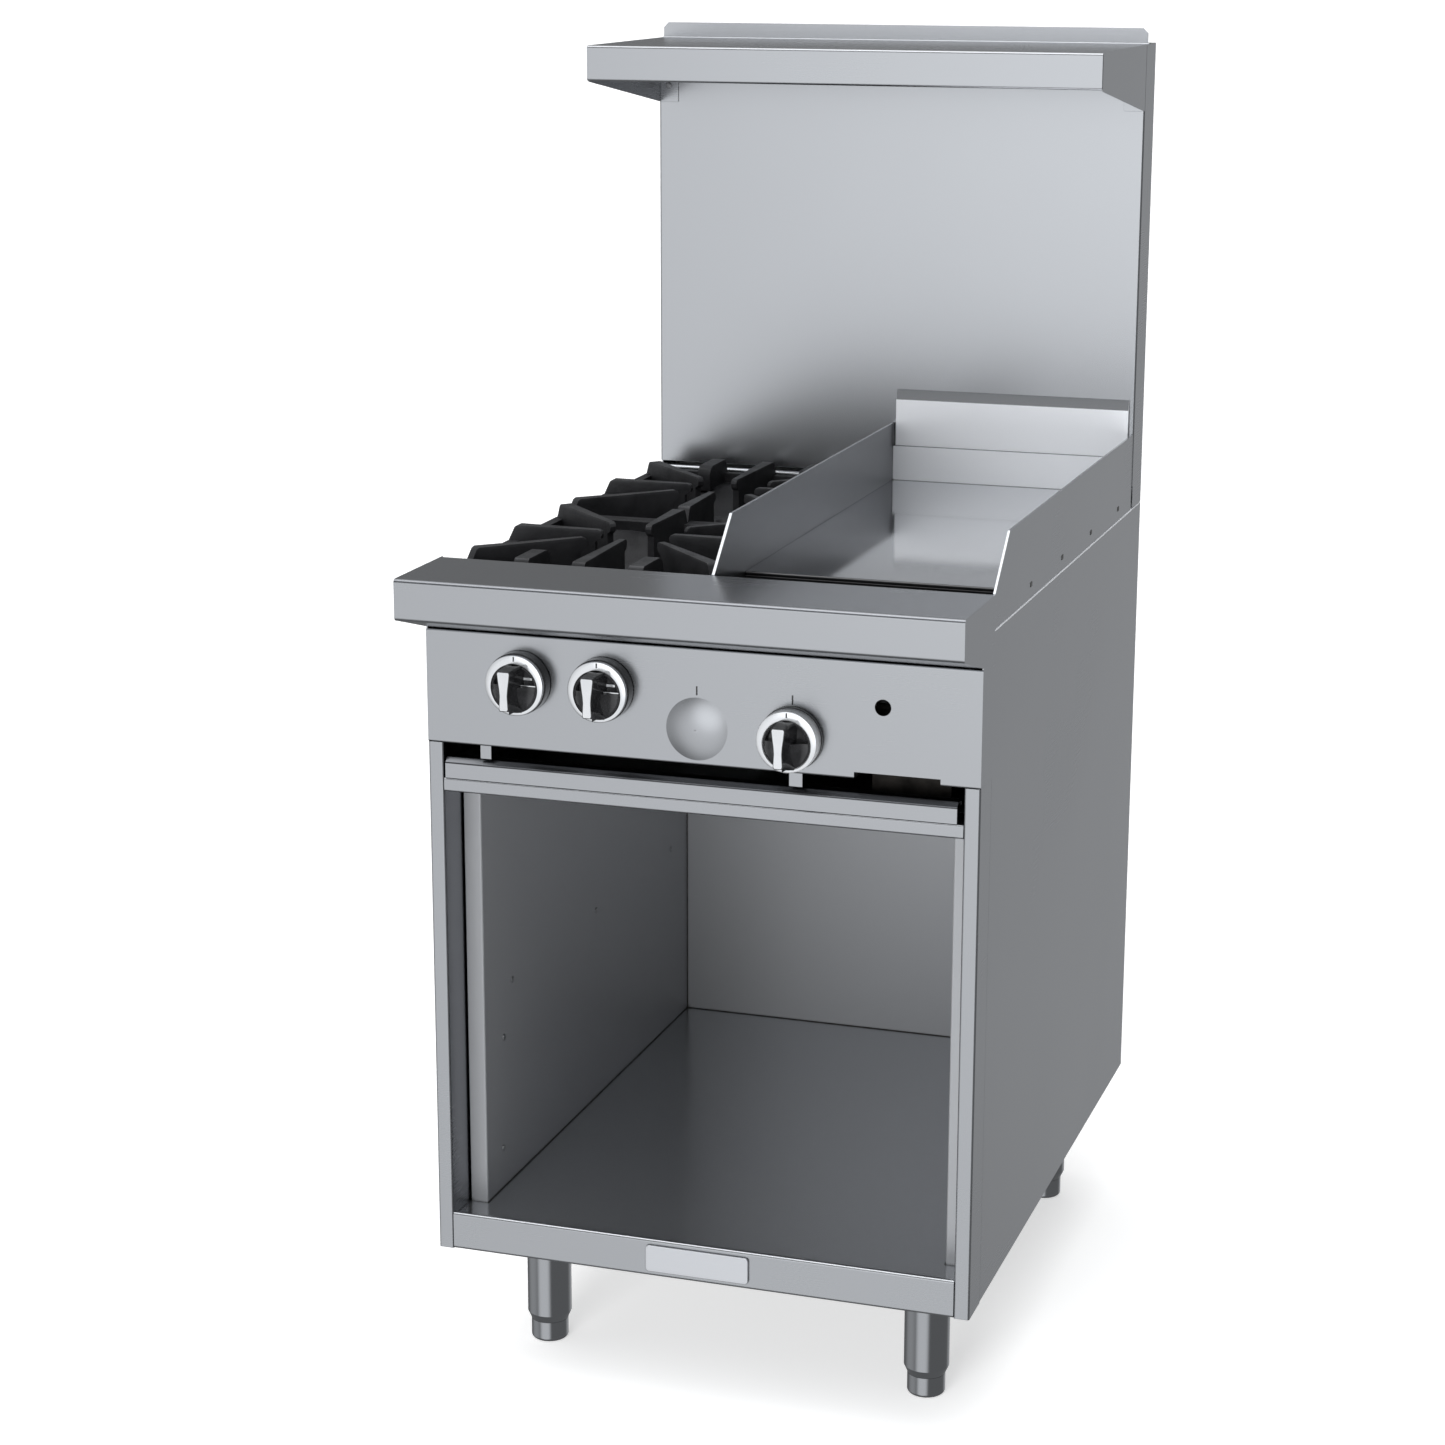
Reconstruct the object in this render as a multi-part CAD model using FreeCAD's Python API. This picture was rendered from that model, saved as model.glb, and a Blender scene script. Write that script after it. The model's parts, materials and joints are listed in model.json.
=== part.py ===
"""Commercial gas range: 24-inch restaurant range with two open burners, a 12-inch griddle,
an open storage base and a high shelf. Millimetres, +Z up, origin on the floor at the middle
of the footprint, front towards -Y."""
import FreeCAD, Part
import math
import os

V = FreeCAD.Vector

# Overall size
WIDTH, DEPTH, HEIGHT = 600.0, 876.0, 1448.0
HALF = WIDTH / 2
RAIL_FRONT = -DEPTH / 2
REAR = DEPTH / 2

# Sheet metal
SHEET = 1.5
THIN = 1.2
BEND = 0.8
SIDE_FLANGE = 14.0

# Depths (Y)
FACE = RAIL_FRONT + 79.0        # front plane of the control panel and posts
POST_BACK = FACE + 46.0         # seam between front post and side panel
REVEAL = FACE + 48.0            # front of the cabinet liner
BOX_FRONT = FACE + 97.0         # wall between the gas controls and the burners
RISER = REAR - 56.0             # front face of the backguard
CABINET_BACK = REAR - 69.0
BACK = REAR - 4.0               # inner face of the rear panel

# Heights (Z)
LEG_H = 152.4
KICK_TOP = 195.0
FLOOR = 190.0
CEILING = 675.0
TRAY_BOTTOM = 690.0
PANEL_BOTTOM = 728.5
BOX_BOTTOM = 733.0              # lower edge of the walls round the burners
PANEL_TOP = 853.0
DECK = 870.0                    # top of the gas control space
SIDE_TOP = 883.0
PLATE_TOP = 903.0
RAIL_TOP = 919.0
GRATE_TOP = 920.0
SPLASH_TOP = 973.0
SHELF_TOP = 1430.0

# Front opening
OPENING = 283.0                 # half width between the front posts
LINER = 261.5                   # half width inside the cabinet
LINER_GAP = 2.0                 # between the front posts and the liner walls
SHIELD = 255.5                  # half width between the heat shields

# Legs and feet
LEG_X, LEG_Y_FRONT, LEG_Y_REAR = 222.0, -229.0, 356.0
LEG_R, LEG_NECK_R, LEG_WALL = 25.0, 21.0, 1.5
NECK_Z, TAPER_Z, PLUG_Z = 24.0, 33.0, 45.0
FOOT_STEM_R, STEM_CLEARANCE, FOOT_STEM_TOP = 9.95, 0.05, 80.0
LEG_PLATE, LEG_PLATE_T = 84.0, 3.0
BOLT_OFFSET, BOLT_R, BOLT_HEAD_R, BOLT_HEAD_H = 33.0, 4.0, 7.0, 5.3
PAN_T = 2.0
CHANNEL_Y, CHANNEL_W = (-250.0, 0.0, 250.0), 40.0

# Kick panel and its badge
HEM_DEPTH, KICK_RETURN = 8.0, 14.0
BADGE_X, BADGE_Z, BADGE_T = 58.0, (159.0, 189.0), 3.0

# Plate rail
RAIL_LIP_RISE, RAIL_FLANGE, RAIL_BEND, RAIL_CORNER = 23.0, 16.0, 2.5, 3.9
PANEL_GAP, PANEL_FLANGE = 1.8, 14.0    # slot between the panel's top flange and the rail

# Knobs: X, Z and the height where the bezel ring starts
KNOBS = {"left": (-193.0, 802.0, 15.0), "middle": (-101.5, 802.0, 15.0), "right": (102.5, 766.0, 5.5)}
KNOB_R, BEZEL_R, HUB_R, HUB_DROP = 33.0, 32.2, 25.3, 3.0
KNOB_GAP, BEZEL_FRONT, GRIP_FRONT = 0.8, 21.5, 50.0
STEM_R, STEM_HOLE_R = 4.0, 7.0
STEM_BACK, STEM_FRONT = FACE + 24.0, FACE - 30.0
STEM_RUN = 0.05
LIGHTER_HOLE = (197.5, 804.8, 8.6)
PLUG_X, PLUG_Z_AT, PLUG_R, PLUG_HEIGHT = 0.0, 766.5, 33.2, 5.0
PAN_NOTCH = (168.0, 258.4, 735.5)
STRAPS = ((-241.0, -229.0), (99.0, 113.0))
STRAP_BOTTOM = 714.3

# Walls round the burners
FLUE_SLOT_X, FLUE_SLOT_W, FLUE_SLOT_Z = (-180.0, -40.0, 80.0, 200.0), 120.0, (835.0, 865.0)
TRIM_TOP = 905.0

# Burners and grates
BURNER_X, BURNER_Y_FRONT, BURNER_Y_REAR = -150.0, -124.0, 180.0
GRATE_X, GRATE_OUTER, GRATE_SEAM = 148.0, 185.0, 151.5
GRATE_BAR, GRATE_BOTTOM, GRATE_RIM = 12.0, SIDE_TOP + 0.3, 903.0
BOWL_HOLE_R, BOWL_R, BOWL_LOW, BOWL_HIGH, BOWL_T = 62.0, 150.0, 864.0, 888.0, 4.0
TIP_STRAIGHT, TIP_DIAGONAL = 39.0, 60.0
FINGER_W_OUT, FINGER_W_TIP = 15.0, 7.0
STUB_X, STUB_W, STUB_INNER = 64.0, 16.5, 127.0
BURNER_R, THROAT_R, VENTURI_R, BELL_R = 40.0, 16.0, 14.0, 18.0
VENTURI_Z, CAP_Z, CAP_TOP = 820.0, 858.0, 877.0
CROSSBAR_TOP = 804.0
BELL_FRONT, BELL_BACK = BOX_FRONT - 26.0, BOX_FRONT - 5.0

# Gas supply
PIPE_R, PIPE_BORE = 13.35, 10.5
MANIFOLD_Y, MANIFOLD_Z, SUPPLY_X = FACE + 47.0, 784.0, 272.0
COLLAR_R, SOCKET, INLET_L, SUPPLY_HOLE_R = 16.2, 19.0, 40.0, 24.0
VALVE_HALF, VALVE_FRONT = 12.0, FACE + 13.0
HOOD_R = 6.0
PILOT_R, PILOT_Z, PILOT_X = 3.0, 845.0, (-30.0, 176.0)

# Griddle
GRIDDLE = (3.7, 297.0)
GRIDDLE_FRONT, GRIDDLE_BACK, PLATE_T = -211.0, 376.0, 16.0
SPLASH_T, SPLASH_SLOPE, SPLASH_SET_IN = 3.0, 58.0, 0.6
SLOT_Y, SLOT_W, SLOT_Z = (-152.0, -1.0, 149.0, 303.0), 2.4, (894.0, 900.0)
CAP_SEAM, CAP_BEND, CAP_RISE = 945.5, 1002.0, 12.0
TROUGH_BACK, TROUGH_FRONT = 899.0, 912.0   # top edges of the grease trough's walls
TUBE_R, TUBE_X = 12.5, (85.0, 205.0)
TUBE_Y = (-190.0, 330.0)
CHUTE_X, CHUTE_Y, CHUTE_BOTTOM = (209.0, 253.0), (-256.0, -226.0), 735.0

# Drawers
TRAY_X, TRAY_BACK, TRAY_GAP = (-281.0, 276.0), 340.0, 0.3
TRAY_FACE_TOP, TRAY_LIP_TOP, TRAY_LIP_DEPTH, TRAY_WALL_TOP = 707.0, 714.0, 20.0, 706.0
PAN_X, PAN_Y, PAN_TOP = (171.0, 255.0), (-300.0, -192.0), 731.0

# Backguard and shelf
GUARD_BOTTOM = 910.0            # lower edge of the backguard's front sheet
SHELF_FRONT, SHELF_RETURN, SHELF_LIP, UPSTAND = 132.0, 16.0, 1390.0, RISER + 13.0
BRACKET_FRONT, BRACKET_BACK, BRACKET_FLANGE = 1389.0, 1353.5, 24.6
BRACKET_SCREW = (287.7, 1373.0)

# Pan-head screws
SCREW_R, SCREW_HEAD_R, SCREW_HEAD_H, SCREW_X = 2.0, 3.6, 1.6, HALF - 10.0
LINER_SCREWS = ((306.0, 424.0), (35.0, 425.0), (-231.0, 425.0), (-258.0, 366.0), (-264.0, 237.0))
REAR_SCREW_Z = (190.0, 400.0, 610.0, 940.0, 1160.0, 1380.0)

AXES = {"x": (V(1, 0, 0), lambda a, b: V(0, a, b)),
        "y": (V(0, 1, 0), lambda a, b: V(a, 0, b)),
        "z": (V(0, 0, 1), lambda a, b: V(a, b, 0))}


# ---- building blocks ----

def box(x, y, z):
    """Block between two limits on each axis."""
    return Part.makeBox(x[1] - x[0], y[1] - y[0], z[1] - z[0], V(x[0], y[0], z[0]))


def rod(radius, start, end):
    run = V(*end) - V(*start)
    return Part.makeCylinder(radius, run.Length, V(*start), run)


def fuse(shapes):
    first, *others = shapes
    return first.multiFuse(others).removeSplitter() if others else first


def extrude(axis, span, wire):
    direction = AXES[axis][0]
    face = Part.Face(wire)
    face.translate(direction * span[0])
    return face.extrude(direction * (span[1] - span[0]))


def plate(axis, span, outline):
    """Flat outline in the two other axes, given thickness along one axis."""
    to_space = AXES[axis][1]
    points = [to_space(*p) for p in outline]
    return extrude(axis, span, Part.makePolygon(points + points[:1]))


def folded(axis, span, line, thickness=SHEET, bend=BEND):
    """Sheet that follows an open line, its thickness on the line's right, with rounded bends."""
    to_space = AXES[axis][1]
    near, far = [], []

    def right(d):
        return (d[1], -d[0])

    def move(p, d, length):
        return (p[0] + d[0] * length, p[1] + d[1] * length)

    def heading(p, q):
        run = math.hypot(q[0] - p[0], q[1] - p[1])
        return ((q[0] - p[0]) / run, (q[1] - p[1]) / run)

    start = line[0]
    for before, corner, after in zip(line, line[1:], line[2:]):
        d1, d2 = heading(before, corner), heading(corner, after)
        cross = d1[0] * d2[1] - d1[1] * d2[0]
        angle = math.atan2(abs(cross), d1[0] * d2[0] + d1[1] * d2[1])
        turns_right = cross < 0
        near_r = bend + (thickness if turns_right else 0)
        far_r = bend + (0 if turns_right else thickness)
        cut = near_r * math.tan(angle / 2)
        p1, p2 = move(corner, d1, -cut), move(corner, d2, cut)
        centre = move(p1, right(d1), near_r if turns_right else -near_r)
        out = heading(centre, corner)
        q1, q2 = move(p1, right(d1), thickness), move(p2, right(d2), thickness)
        near += [("line", start, p1), ("arc", p1, move(centre, out, near_r), p2)]
        far += [("line", move(start, right(d1), thickness), q1),
                ("arc", q1, move(centre, out, far_r), q2)]
        start = p2
    last = heading(line[-2], line[-1])
    near.append(("line", start, line[-1]))
    far.append(("line", move(start, right(last), thickness), move(line[-1], right(last), thickness)))
    ends = [("line", near[0][1], far[0][1]), ("line", near[-1][-1], far[-1][-1])]
    edges = []
    for kind, *points in near + far + ends:
        points = [to_space(*p) for p in points]
        edges.append(Part.Arc(*points).toShape() if kind == "arc" else Part.makeLine(*points))
    return extrude(axis, span, Part.Wire(Part.__sortEdges__(edges)))


def turned(profile, base=(0, 0, 0)):
    """Closed radius-height profile turned about the vertical through base."""
    points = [V(r, 0, z) for r, z in profile]
    solid = Part.Face(Part.makePolygon(points + points[:1])).revolve(V(0, 0, 0), V(0, 0, 1), 360)
    solid.translate(V(*base))
    return solid


def to_front(solid, x, z):
    """Turn a solid made about +Z so that it stands out of the front plane at (x, z)."""
    solid.rotate(V(0, 0, 0), V(1, 0, 0), 90)
    solid.translate(V(x, FACE, z))
    return solid


def flipped(solid):
    return solid.mirror(V(0, 0, 0), V(1, 0, 0))


def both_sides(solid):
    return Part.makeCompound([solid, flipped(solid)])


def save(name, shape):
    shape.exportStep(f"parts/{name}.step")


# ---- legs and base ----

def leg_places():
    return {f"{end}_{side}": (sign * LEG_X, y)
            for end, y in (("front", LEG_Y_FRONT), ("rear", LEG_Y_REAR))
            for side, sign in (("left", -1), ("right", 1))}


def bolt_places():
    return [(x + dx, y + dy) for x, y in leg_places().values()
            for dx in (-BOLT_OFFSET, BOLT_OFFSET) for dy in (-BOLT_OFFSET, BOLT_OFFSET)]


def legs():
    bore = FOOT_STEM_R + STEM_CLEARANCE
    inner = LEG_R - LEG_WALL
    profile = [(bore, NECK_Z), (LEG_NECK_R, NECK_Z), (LEG_R, TAPER_Z), (LEG_R, LEG_H),
               (inner, LEG_H), (inner, PLUG_Z), (bore, PLUG_Z)]
    half = LEG_PLATE / 2
    holes = [rod(BOLT_R, (x, y, LEG_H - 1), (x, y, LEG_H + LEG_PLATE_T + 1)) for x, y in bolt_places()]
    solids = []
    for x, y in leg_places().values():
        top = box((x - half, x + half), (y - half, y + half), (LEG_H, LEG_H + LEG_PLATE_T))
        solids.append(fuse([turned(profile, (x, y, 0)), top.cut(Part.makeCompound(holes))]))
    return Part.makeCompound(solids)


def foot(x, y):
    rounding = 4.0
    pad = rod(LEG_NECK_R, (x, y, 0), (x, y, NECK_Z - 0.3))
    pad = pad.makeFillet(rounding, [e for e in pad.Edges if e.BoundBox.ZMax < 0.1])
    return fuse([pad, rod(FOOT_STEM_R, (x, y, NECK_Z - 1), (x, y, FOOT_STEM_TOP))])


def leg_bolts():
    bolts = []
    for x, y in bolt_places():
        hexagon = [(x + BOLT_HEAD_R * math.cos(math.radians(60 * k)),
                    y + BOLT_HEAD_R * math.sin(math.radians(60 * k))) for k in range(6)]
        head = plate("z", (LEG_H - BOLT_HEAD_H, LEG_H), hexagon)
        bolts.append(fuse([head, rod(BOLT_R, (x, y, LEG_H - 1), (x, y, LEG_H + LEG_PLATE_T + PAN_T + 6))]))
    return Part.makeCompound(bolts)


def base_pan():
    bottom = LEG_H + LEG_PLATE_T
    outline = [(-OPENING, FACE + 2), (OPENING, FACE + 2), (OPENING, REVEAL), (HALF - SHEET, REVEAL),
               (HALF - SHEET, BACK), (SHEET - HALF, BACK), (SHEET - HALF, REVEAL), (-OPENING, REVEAL)]
    pan = plate("z", (bottom, bottom + PAN_T), outline)
    top = FLOOR - THIN
    channels = [folded("x", (-LINER, LINER), [(y, bottom + PAN_T), (y, top), (y + CHANNEL_W, top),
                                              (y + CHANNEL_W, bottom + PAN_T)], PAN_T)
                for y in CHANNEL_Y]
    holes = [rod(BOLT_R, (x, y, bottom - 1), (x, y, bottom + PAN_T + 1)) for x, y in bolt_places()]
    return fuse([pan] + channels).cut(Part.makeCompound(holes))


# ---- cabinet ----

def kick_panel():
    back, hem = FACE + KICK_RETURN, FACE + HEM_DEPTH
    return folded("x", (-OPENING, OPENING), [(back, LEG_H), (FACE, LEG_H), (FACE, KICK_TOP),
                                             (hem, KICK_TOP), (hem, FLOOR)], bend=2.0)


def badge_plate():
    corner, edge = 4.0, 0.8
    badge = box((-BADGE_X, BADGE_X), (FACE - BADGE_T, FACE), BADGE_Z)
    badge = badge.makeFillet(corner, [e for e in badge.Edges if e.BoundBox.YLength > BADGE_T / 2])
    return badge.makeFillet(edge, [e for e in badge.Edges if e.BoundBox.YMax < FACE - BADGE_T / 2])


def front_posts():
    section = [(HALF, POST_BACK), (HALF, FACE), (OPENING, FACE), (OPENING, REVEAL)]
    return both_sides(folded("z", (LEG_H, PANEL_BOTTOM), section))


def side_panel():
    """Right-hand side with flanges along its top and bottom, cut away where the back closes it."""
    inner = HALF - SIDE_FLANGE
    section = [(inner, SIDE_TOP), (HALF, SIDE_TOP), (HALF, LEG_H), (inner, LEG_H)]
    relief = box((inner - 1, HALF - SHEET), (BACK, REAR), (LEG_H - 1, SIDE_TOP + 1))
    return folded("y", (POST_BACK, REAR), section).cut(relief)


def side_panel_right():
    """Its top flange stops at the griddle's trough."""
    return side_panel().cut(box((HALF - SIDE_FLANGE - 1, HALF - SHEET), (POST_BACK - 1, GRIDDLE_FRONT),
                                (SIDE_TOP - 2 * SHEET, SIDE_TOP + 1)))


def side_panel_left():
    return flipped(side_panel())


def cross_rail():
    depth = 30.0
    section = [(FACE + depth, CEILING), (FACE, CEILING), (FACE, TRAY_BOTTOM), (FACE + depth, TRAY_BOTTOM)]
    return folded("x", (-OPENING, OPENING), section)


def cabinet_floor():
    outer = LINER + THIN
    outline = [(-OPENING, FACE + 2), (OPENING, FACE + 2), (OPENING, REVEAL), (outer, REVEAL),
               (outer, CABINET_BACK + THIN), (-outer, CABINET_BACK + THIN), (-outer, REVEAL),
               (-OPENING, REVEAL)]
    return plate("z", (FLOOR - THIN, FLOOR), outline)


def liner_side():
    """Right-hand liner wall, with a flange that faces the front."""
    section = [(OPENING - LINER_GAP, REVEAL), (LINER, REVEAL), (LINER, CABINET_BACK)]
    wall = folded("z", (FLOOR, CEILING - THIN), section, THIN)
    holes = [rod(SCREW_R, (LINER - 1, y, z), (LINER + 3, y, z)) for y, z in LINER_SCREWS]
    return wall.cut(Part.makeCompound(holes))


def liner_back():
    return box((-LINER - THIN, LINER + THIN), (CABINET_BACK, CABINET_BACK + THIN), (FLOOR, CEILING - THIN))


def cabinet_ceiling():
    outer = LINER + THIN
    return box((-outer, outer), (FACE + 29, CABINET_BACK + THIN), (CEILING - THIN, CEILING))


def tray_runners():
    section = [(LINER + 2.7, CEILING), (LINER + 2.7, TRAY_BOTTOM), (HALF - SHEET, TRAY_BOTTOM)]
    return both_sides(folded("y", (REVEAL, RISER - 4), section))


def screw(at, into, length):
    """Pan-head screw whose head sits on a surface at a point and whose shank goes inwards."""
    at, into = V(*at), V(*into)
    head = Part.makeCylinder(SCREW_HEAD_R, SCREW_HEAD_H, at - into * SCREW_HEAD_H, into)
    head = head.makeFillet(1.0, [max(head.Edges, key=lambda e: (at - e.CenterOfMass).Length
                                     if e.Closed and len(e.Vertexes) == 1 else -1)])
    return head.fuse(Part.makeCylinder(SCREW_R, length, at, into)).removeSplitter()


def panel_screws():
    right = [screw((LINER, y, z), (1, 0, 0), 6) for y, z in LINER_SCREWS]
    x, z = BRACKET_SCREW
    right.append(screw((x, RISER - THIN, z), (0, 1, 0), 6))
    right += [screw((SCREW_X, BACK + SHEET, z), (0, -1, 0), 6) for z in REAR_SCREW_Z]
    return Part.makeCompound(right + [flipped(s) for s in right])


# ---- front ----

def control_panel():
    depth, face_top = 20.0, PANEL_TOP - PANEL_GAP
    stem_holes = [(x, z, STEM_HOLE_R) for x, z, _ in KNOBS.values()]
    holes = stem_holes + [LIGHTER_HOLE, (PLUG_X, PLUG_Z_AT, PLUG_R - 4)]
    face = folded("x", (-HALF, HALF), [(FACE + depth, PANEL_BOTTOM), (FACE, PANEL_BOTTOM),
                                       (FACE, face_top), (FACE + PANEL_FLANGE, face_top)])
    sides = both_sides(box((HALF - SHEET, HALF), (FACE + SHEET, POST_BACK), (PANEL_BOTTOM, PANEL_TOP)))
    straps = [box(x, (FACE + SHEET, FACE + 2 * SHEET), (STRAP_BOTTOM, PANEL_BOTTOM)) for x in STRAPS]
    low, high, top = PAN_NOTCH
    notch = box((low, high), (FACE - 1, FACE + depth + 1), (PANEL_BOTTOM - 1, top))
    panel = fuse([face] + sides.Solids + straps)
    return panel.cut(Part.makeCompound([notch] + [rod(r, (x, FACE - 1, z), (x, FACE + SHEET + 1, z))
                                                  for x, z, r in holes]))


def blank_plug():
    """Shallow dome that closes the unused valve hole."""
    radius = (PLUG_R ** 2 + PLUG_HEIGHT ** 2) / (2 * PLUG_HEIGHT)
    ball = Part.makeSphere(radius, V(0, 0, PLUG_HEIGHT - radius))
    dome = ball.common(Part.makeCylinder(PLUG_R, PLUG_HEIGHT + 1))
    shank = rod(PLUG_R - 4, (0, 0, -4), (0, 0, 0.5))
    return to_front(fuse([dome, shank]), PLUG_X, PLUG_Z_AT)


def plate_rail():
    lower = [(FACE, PANEL_TOP), (RAIL_FRONT, PANEL_TOP + RAIL_LIP_RISE)]
    upper = [(RAIL_FRONT, RAIL_TOP), (POST_BACK, RAIL_TOP)]
    flange = [(POST_BACK, RAIL_TOP - RAIL_FLANGE)]
    inside = [(FACE + PANEL_FLANGE, PANEL_TOP)]
    shell = folded("x", (SHEET - HALF, HALF - SHEET), inside + lower + upper + flange, bend=RAIL_BEND)
    cap = plate("x", (HALF - SHEET, HALF), lower + upper + [(POST_BACK, PANEL_TOP)])
    front = [e for e in cap.Edges if e.BoundBox.XLength > 1 and e.BoundBox.YMax < RAIL_FRONT + 0.1]
    cap = cap.makeFillet(RAIL_CORNER, front)
    return fuse([shell, cap, flipped(cap)])


# ---- backguard and shelf ----

def backguard():
    section = [(HALF, REAR), (HALF, RISER), (-HALF, RISER), (-HALF, REAR)]
    wrap = folded("z", (SIDE_TOP, SHELF_TOP), section)
    below = box((-HALF - 1, HALF + 1), (RISER - 1, RISER + 4.5), (SIDE_TOP - 1, GUARD_BOTTOM))
    seat = box((-HALF - 1, HALF + 1), (RISER - 1, UPSTAND + SHEET), (SHELF_TOP - SHEET, SHELF_TOP + 1))
    x, z = BRACKET_SCREW
    holes = [rod(SCREW_R, (s * x, RISER - 1, z), (s * x, RISER + 3, z)) for s in (-1, 1)]
    return wrap.cut(Part.makeCompound([below, seat] + holes))


def rear_panel():
    panel = box((SHEET - HALF, HALF - SHEET), (BACK, BACK + SHEET), (LEG_H + LEG_PLATE_T, SHELF_TOP))
    gas = rod(SUPPLY_HOLE_R, (SUPPLY_X, BACK - 1, MANIFOLD_Z), (SUPPLY_X, REAR + 1, MANIFOLD_Z))
    screws = [rod(SCREW_R, (s * SCREW_X, BACK - 1, z), (s * SCREW_X, REAR + 1, z))
              for s in (-1, 1) for z in REAR_SCREW_Z]
    return panel.cut(Part.makeCompound([gas] + screws))


def high_shelf():
    section = [(SHELF_FRONT + SHELF_RETURN, SHELF_LIP), (SHELF_FRONT, SHELF_LIP),
               (SHELF_FRONT, SHELF_TOP), (UPSTAND, SHELF_TOP), (UPSTAND, HEIGHT)]
    shelf = folded("x", (-HALF, HALF), section, bend=1.5)
    side_gap = both_sides(box((HALF - SHEET, HALF + 1), (SHELF_FRONT + 4, RISER),
                              (SHELF_LIP - 5, HEIGHT + 1)))
    end, corner = HALF - 1.4, 6.0
    clip = both_sides(plate("y", (RISER, REAR), [(end, SHELF_TOP + 1), (HALF + 1, SHELF_TOP + 1),
                                                 (HALF + 1, HEIGHT + 1), (end - corner, HEIGHT + 1),
                                                 (end - corner, HEIGHT), (end, HEIGHT - corner)]))
    return shelf.cut(Part.makeCompound([side_gap, clip]))


def shelf_brackets():
    front = SHELF_FRONT + 4
    outline = [(front, BRACKET_FRONT), (front, SHELF_TOP), (RISER, SHELF_TOP), (RISER, BRACKET_BACK)]
    side = plate("x", (HALF - SHEET, HALF), outline)
    flange = box((HALF - BRACKET_FLANGE, HALF - SHEET), (RISER - THIN, RISER),
                 (BRACKET_BACK, SHELF_LIP + 4))
    x, z = BRACKET_SCREW
    hole = rod(SCREW_R, (x, RISER - 3, z), (x, RISER + 1, z))
    return both_sides(fuse([side, flange]).cut(hole))


# ---- cooking top structure ----

def burner_box_front():
    """Wall and deck behind the gas controls, with the ledge for the front grate."""
    ledge_back = REVEAL + 14
    wall = folded("x", (SHEET - HALF, HALF - SHEET),
                  [(BOX_FRONT, BOX_BOTTOM), (BOX_FRONT, DECK), (REVEAL, DECK)])
    ledge = folded("x", (SIDE_FLANGE - HALF, -15.0),
                   [(REVEAL, DECK + SHEET), (REVEAL, SIDE_TOP), (ledge_back, SIDE_TOP)])
    lighter_x, lighter_z, lighter_r = LIGHTER_HOLE
    round_holes = [(PIPE_R + 2, SUPPLY_X, MANIFOLD_Z), (lighter_r + 2, lighter_x, lighter_z)]
    round_holes += [(PILOT_R + 1.5, x, PILOT_Z) for x in PILOT_X]
    round_holes += [(BELL_R + 4, x, VENTURI_Z) for x, _, _ in KNOBS.values()]
    holes = [rod(r, (x, BOX_FRONT - 1, z), (x, BOX_FRONT + 3, z)) for r, x, z in round_holes]
    return fuse([wall, ledge]).cut(Part.makeCompound(holes))


def burner_box_rear():
    """Wall in front of the flue, with its exhaust slots."""
    y = RISER + 2
    wall = box((SHEET - HALF, HALF - SHEET), (y, y + SHEET), (BOX_BOTTOM, SIDE_TOP - SHEET))
    half = FLUE_SLOT_W / 2
    slots = [box((x - half, x + half), (y - 1, y + 3), FLUE_SLOT_Z) for x in FLUE_SLOT_X]
    gas = rod(PIPE_R + 2, (SUPPLY_X, y - 1, MANIFOLD_Z), (SUPPLY_X, y + 3, MANIFOLD_Z))
    return wall.cut(Part.makeCompound(slots + [gas]))


def heat_shields():
    section = [(HALF - SHEET, BOX_BOTTOM), (SHIELD, BOX_BOTTOM), (SHIELD, SIDE_TOP - 17)]
    return both_sides(folded("y", (BOX_FRONT + SHEET, RISER + 2), section))


def center_divider():
    web = SHEET / 2
    left, right, under = -14.0, GRIDDLE[0] + 12, SIDE_TOP - SHEET
    outline = [(left, under), (-web, under), (-web, BOX_BOTTOM), (web, BOX_BOTTOM),
               (web, under), (right, under), (right, SIDE_TOP), (left, SIDE_TOP)]
    return plate("y", (GRIDDLE_FRONT + 1, RISER + 2), outline)


def rear_trim():
    """Bright folded edge that closes the gap behind the rear grate."""
    y = RISER + 2
    section = [(y, SIDE_TOP), (y, TRIM_TOP), (RISER - 10, TRIM_TOP), (RISER - 10, TRIM_TOP - 8)]
    return folded("x", (SHEET - HALF, -1), section, bend=2.0)


def burner_crossbars():
    bars = [box((-SHIELD, -SHEET / 2), (y - 12, y + 12), (CROSSBAR_TOP - 3, CROSSBAR_TOP))
            for y in (BURNER_Y_FRONT, BURNER_Y_REAR)]
    low = VENTURI_Z - TUBE_R
    y = TUBE_Y[1] - 30
    bars.append(box((SHEET / 2, SHIELD), (y - 12, y + 12), (low - 3, low)))
    return Part.makeCompound(bars)


# ---- grates ----

def bowl_height(r):
    slope = (BOWL_HIGH - BOWL_LOW) / (BOWL_R - BOWL_HOLE_R)
    return BOWL_LOW + slope * (min(max(r, BOWL_HOLE_R), BOWL_R) - BOWL_HOLE_R)


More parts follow.
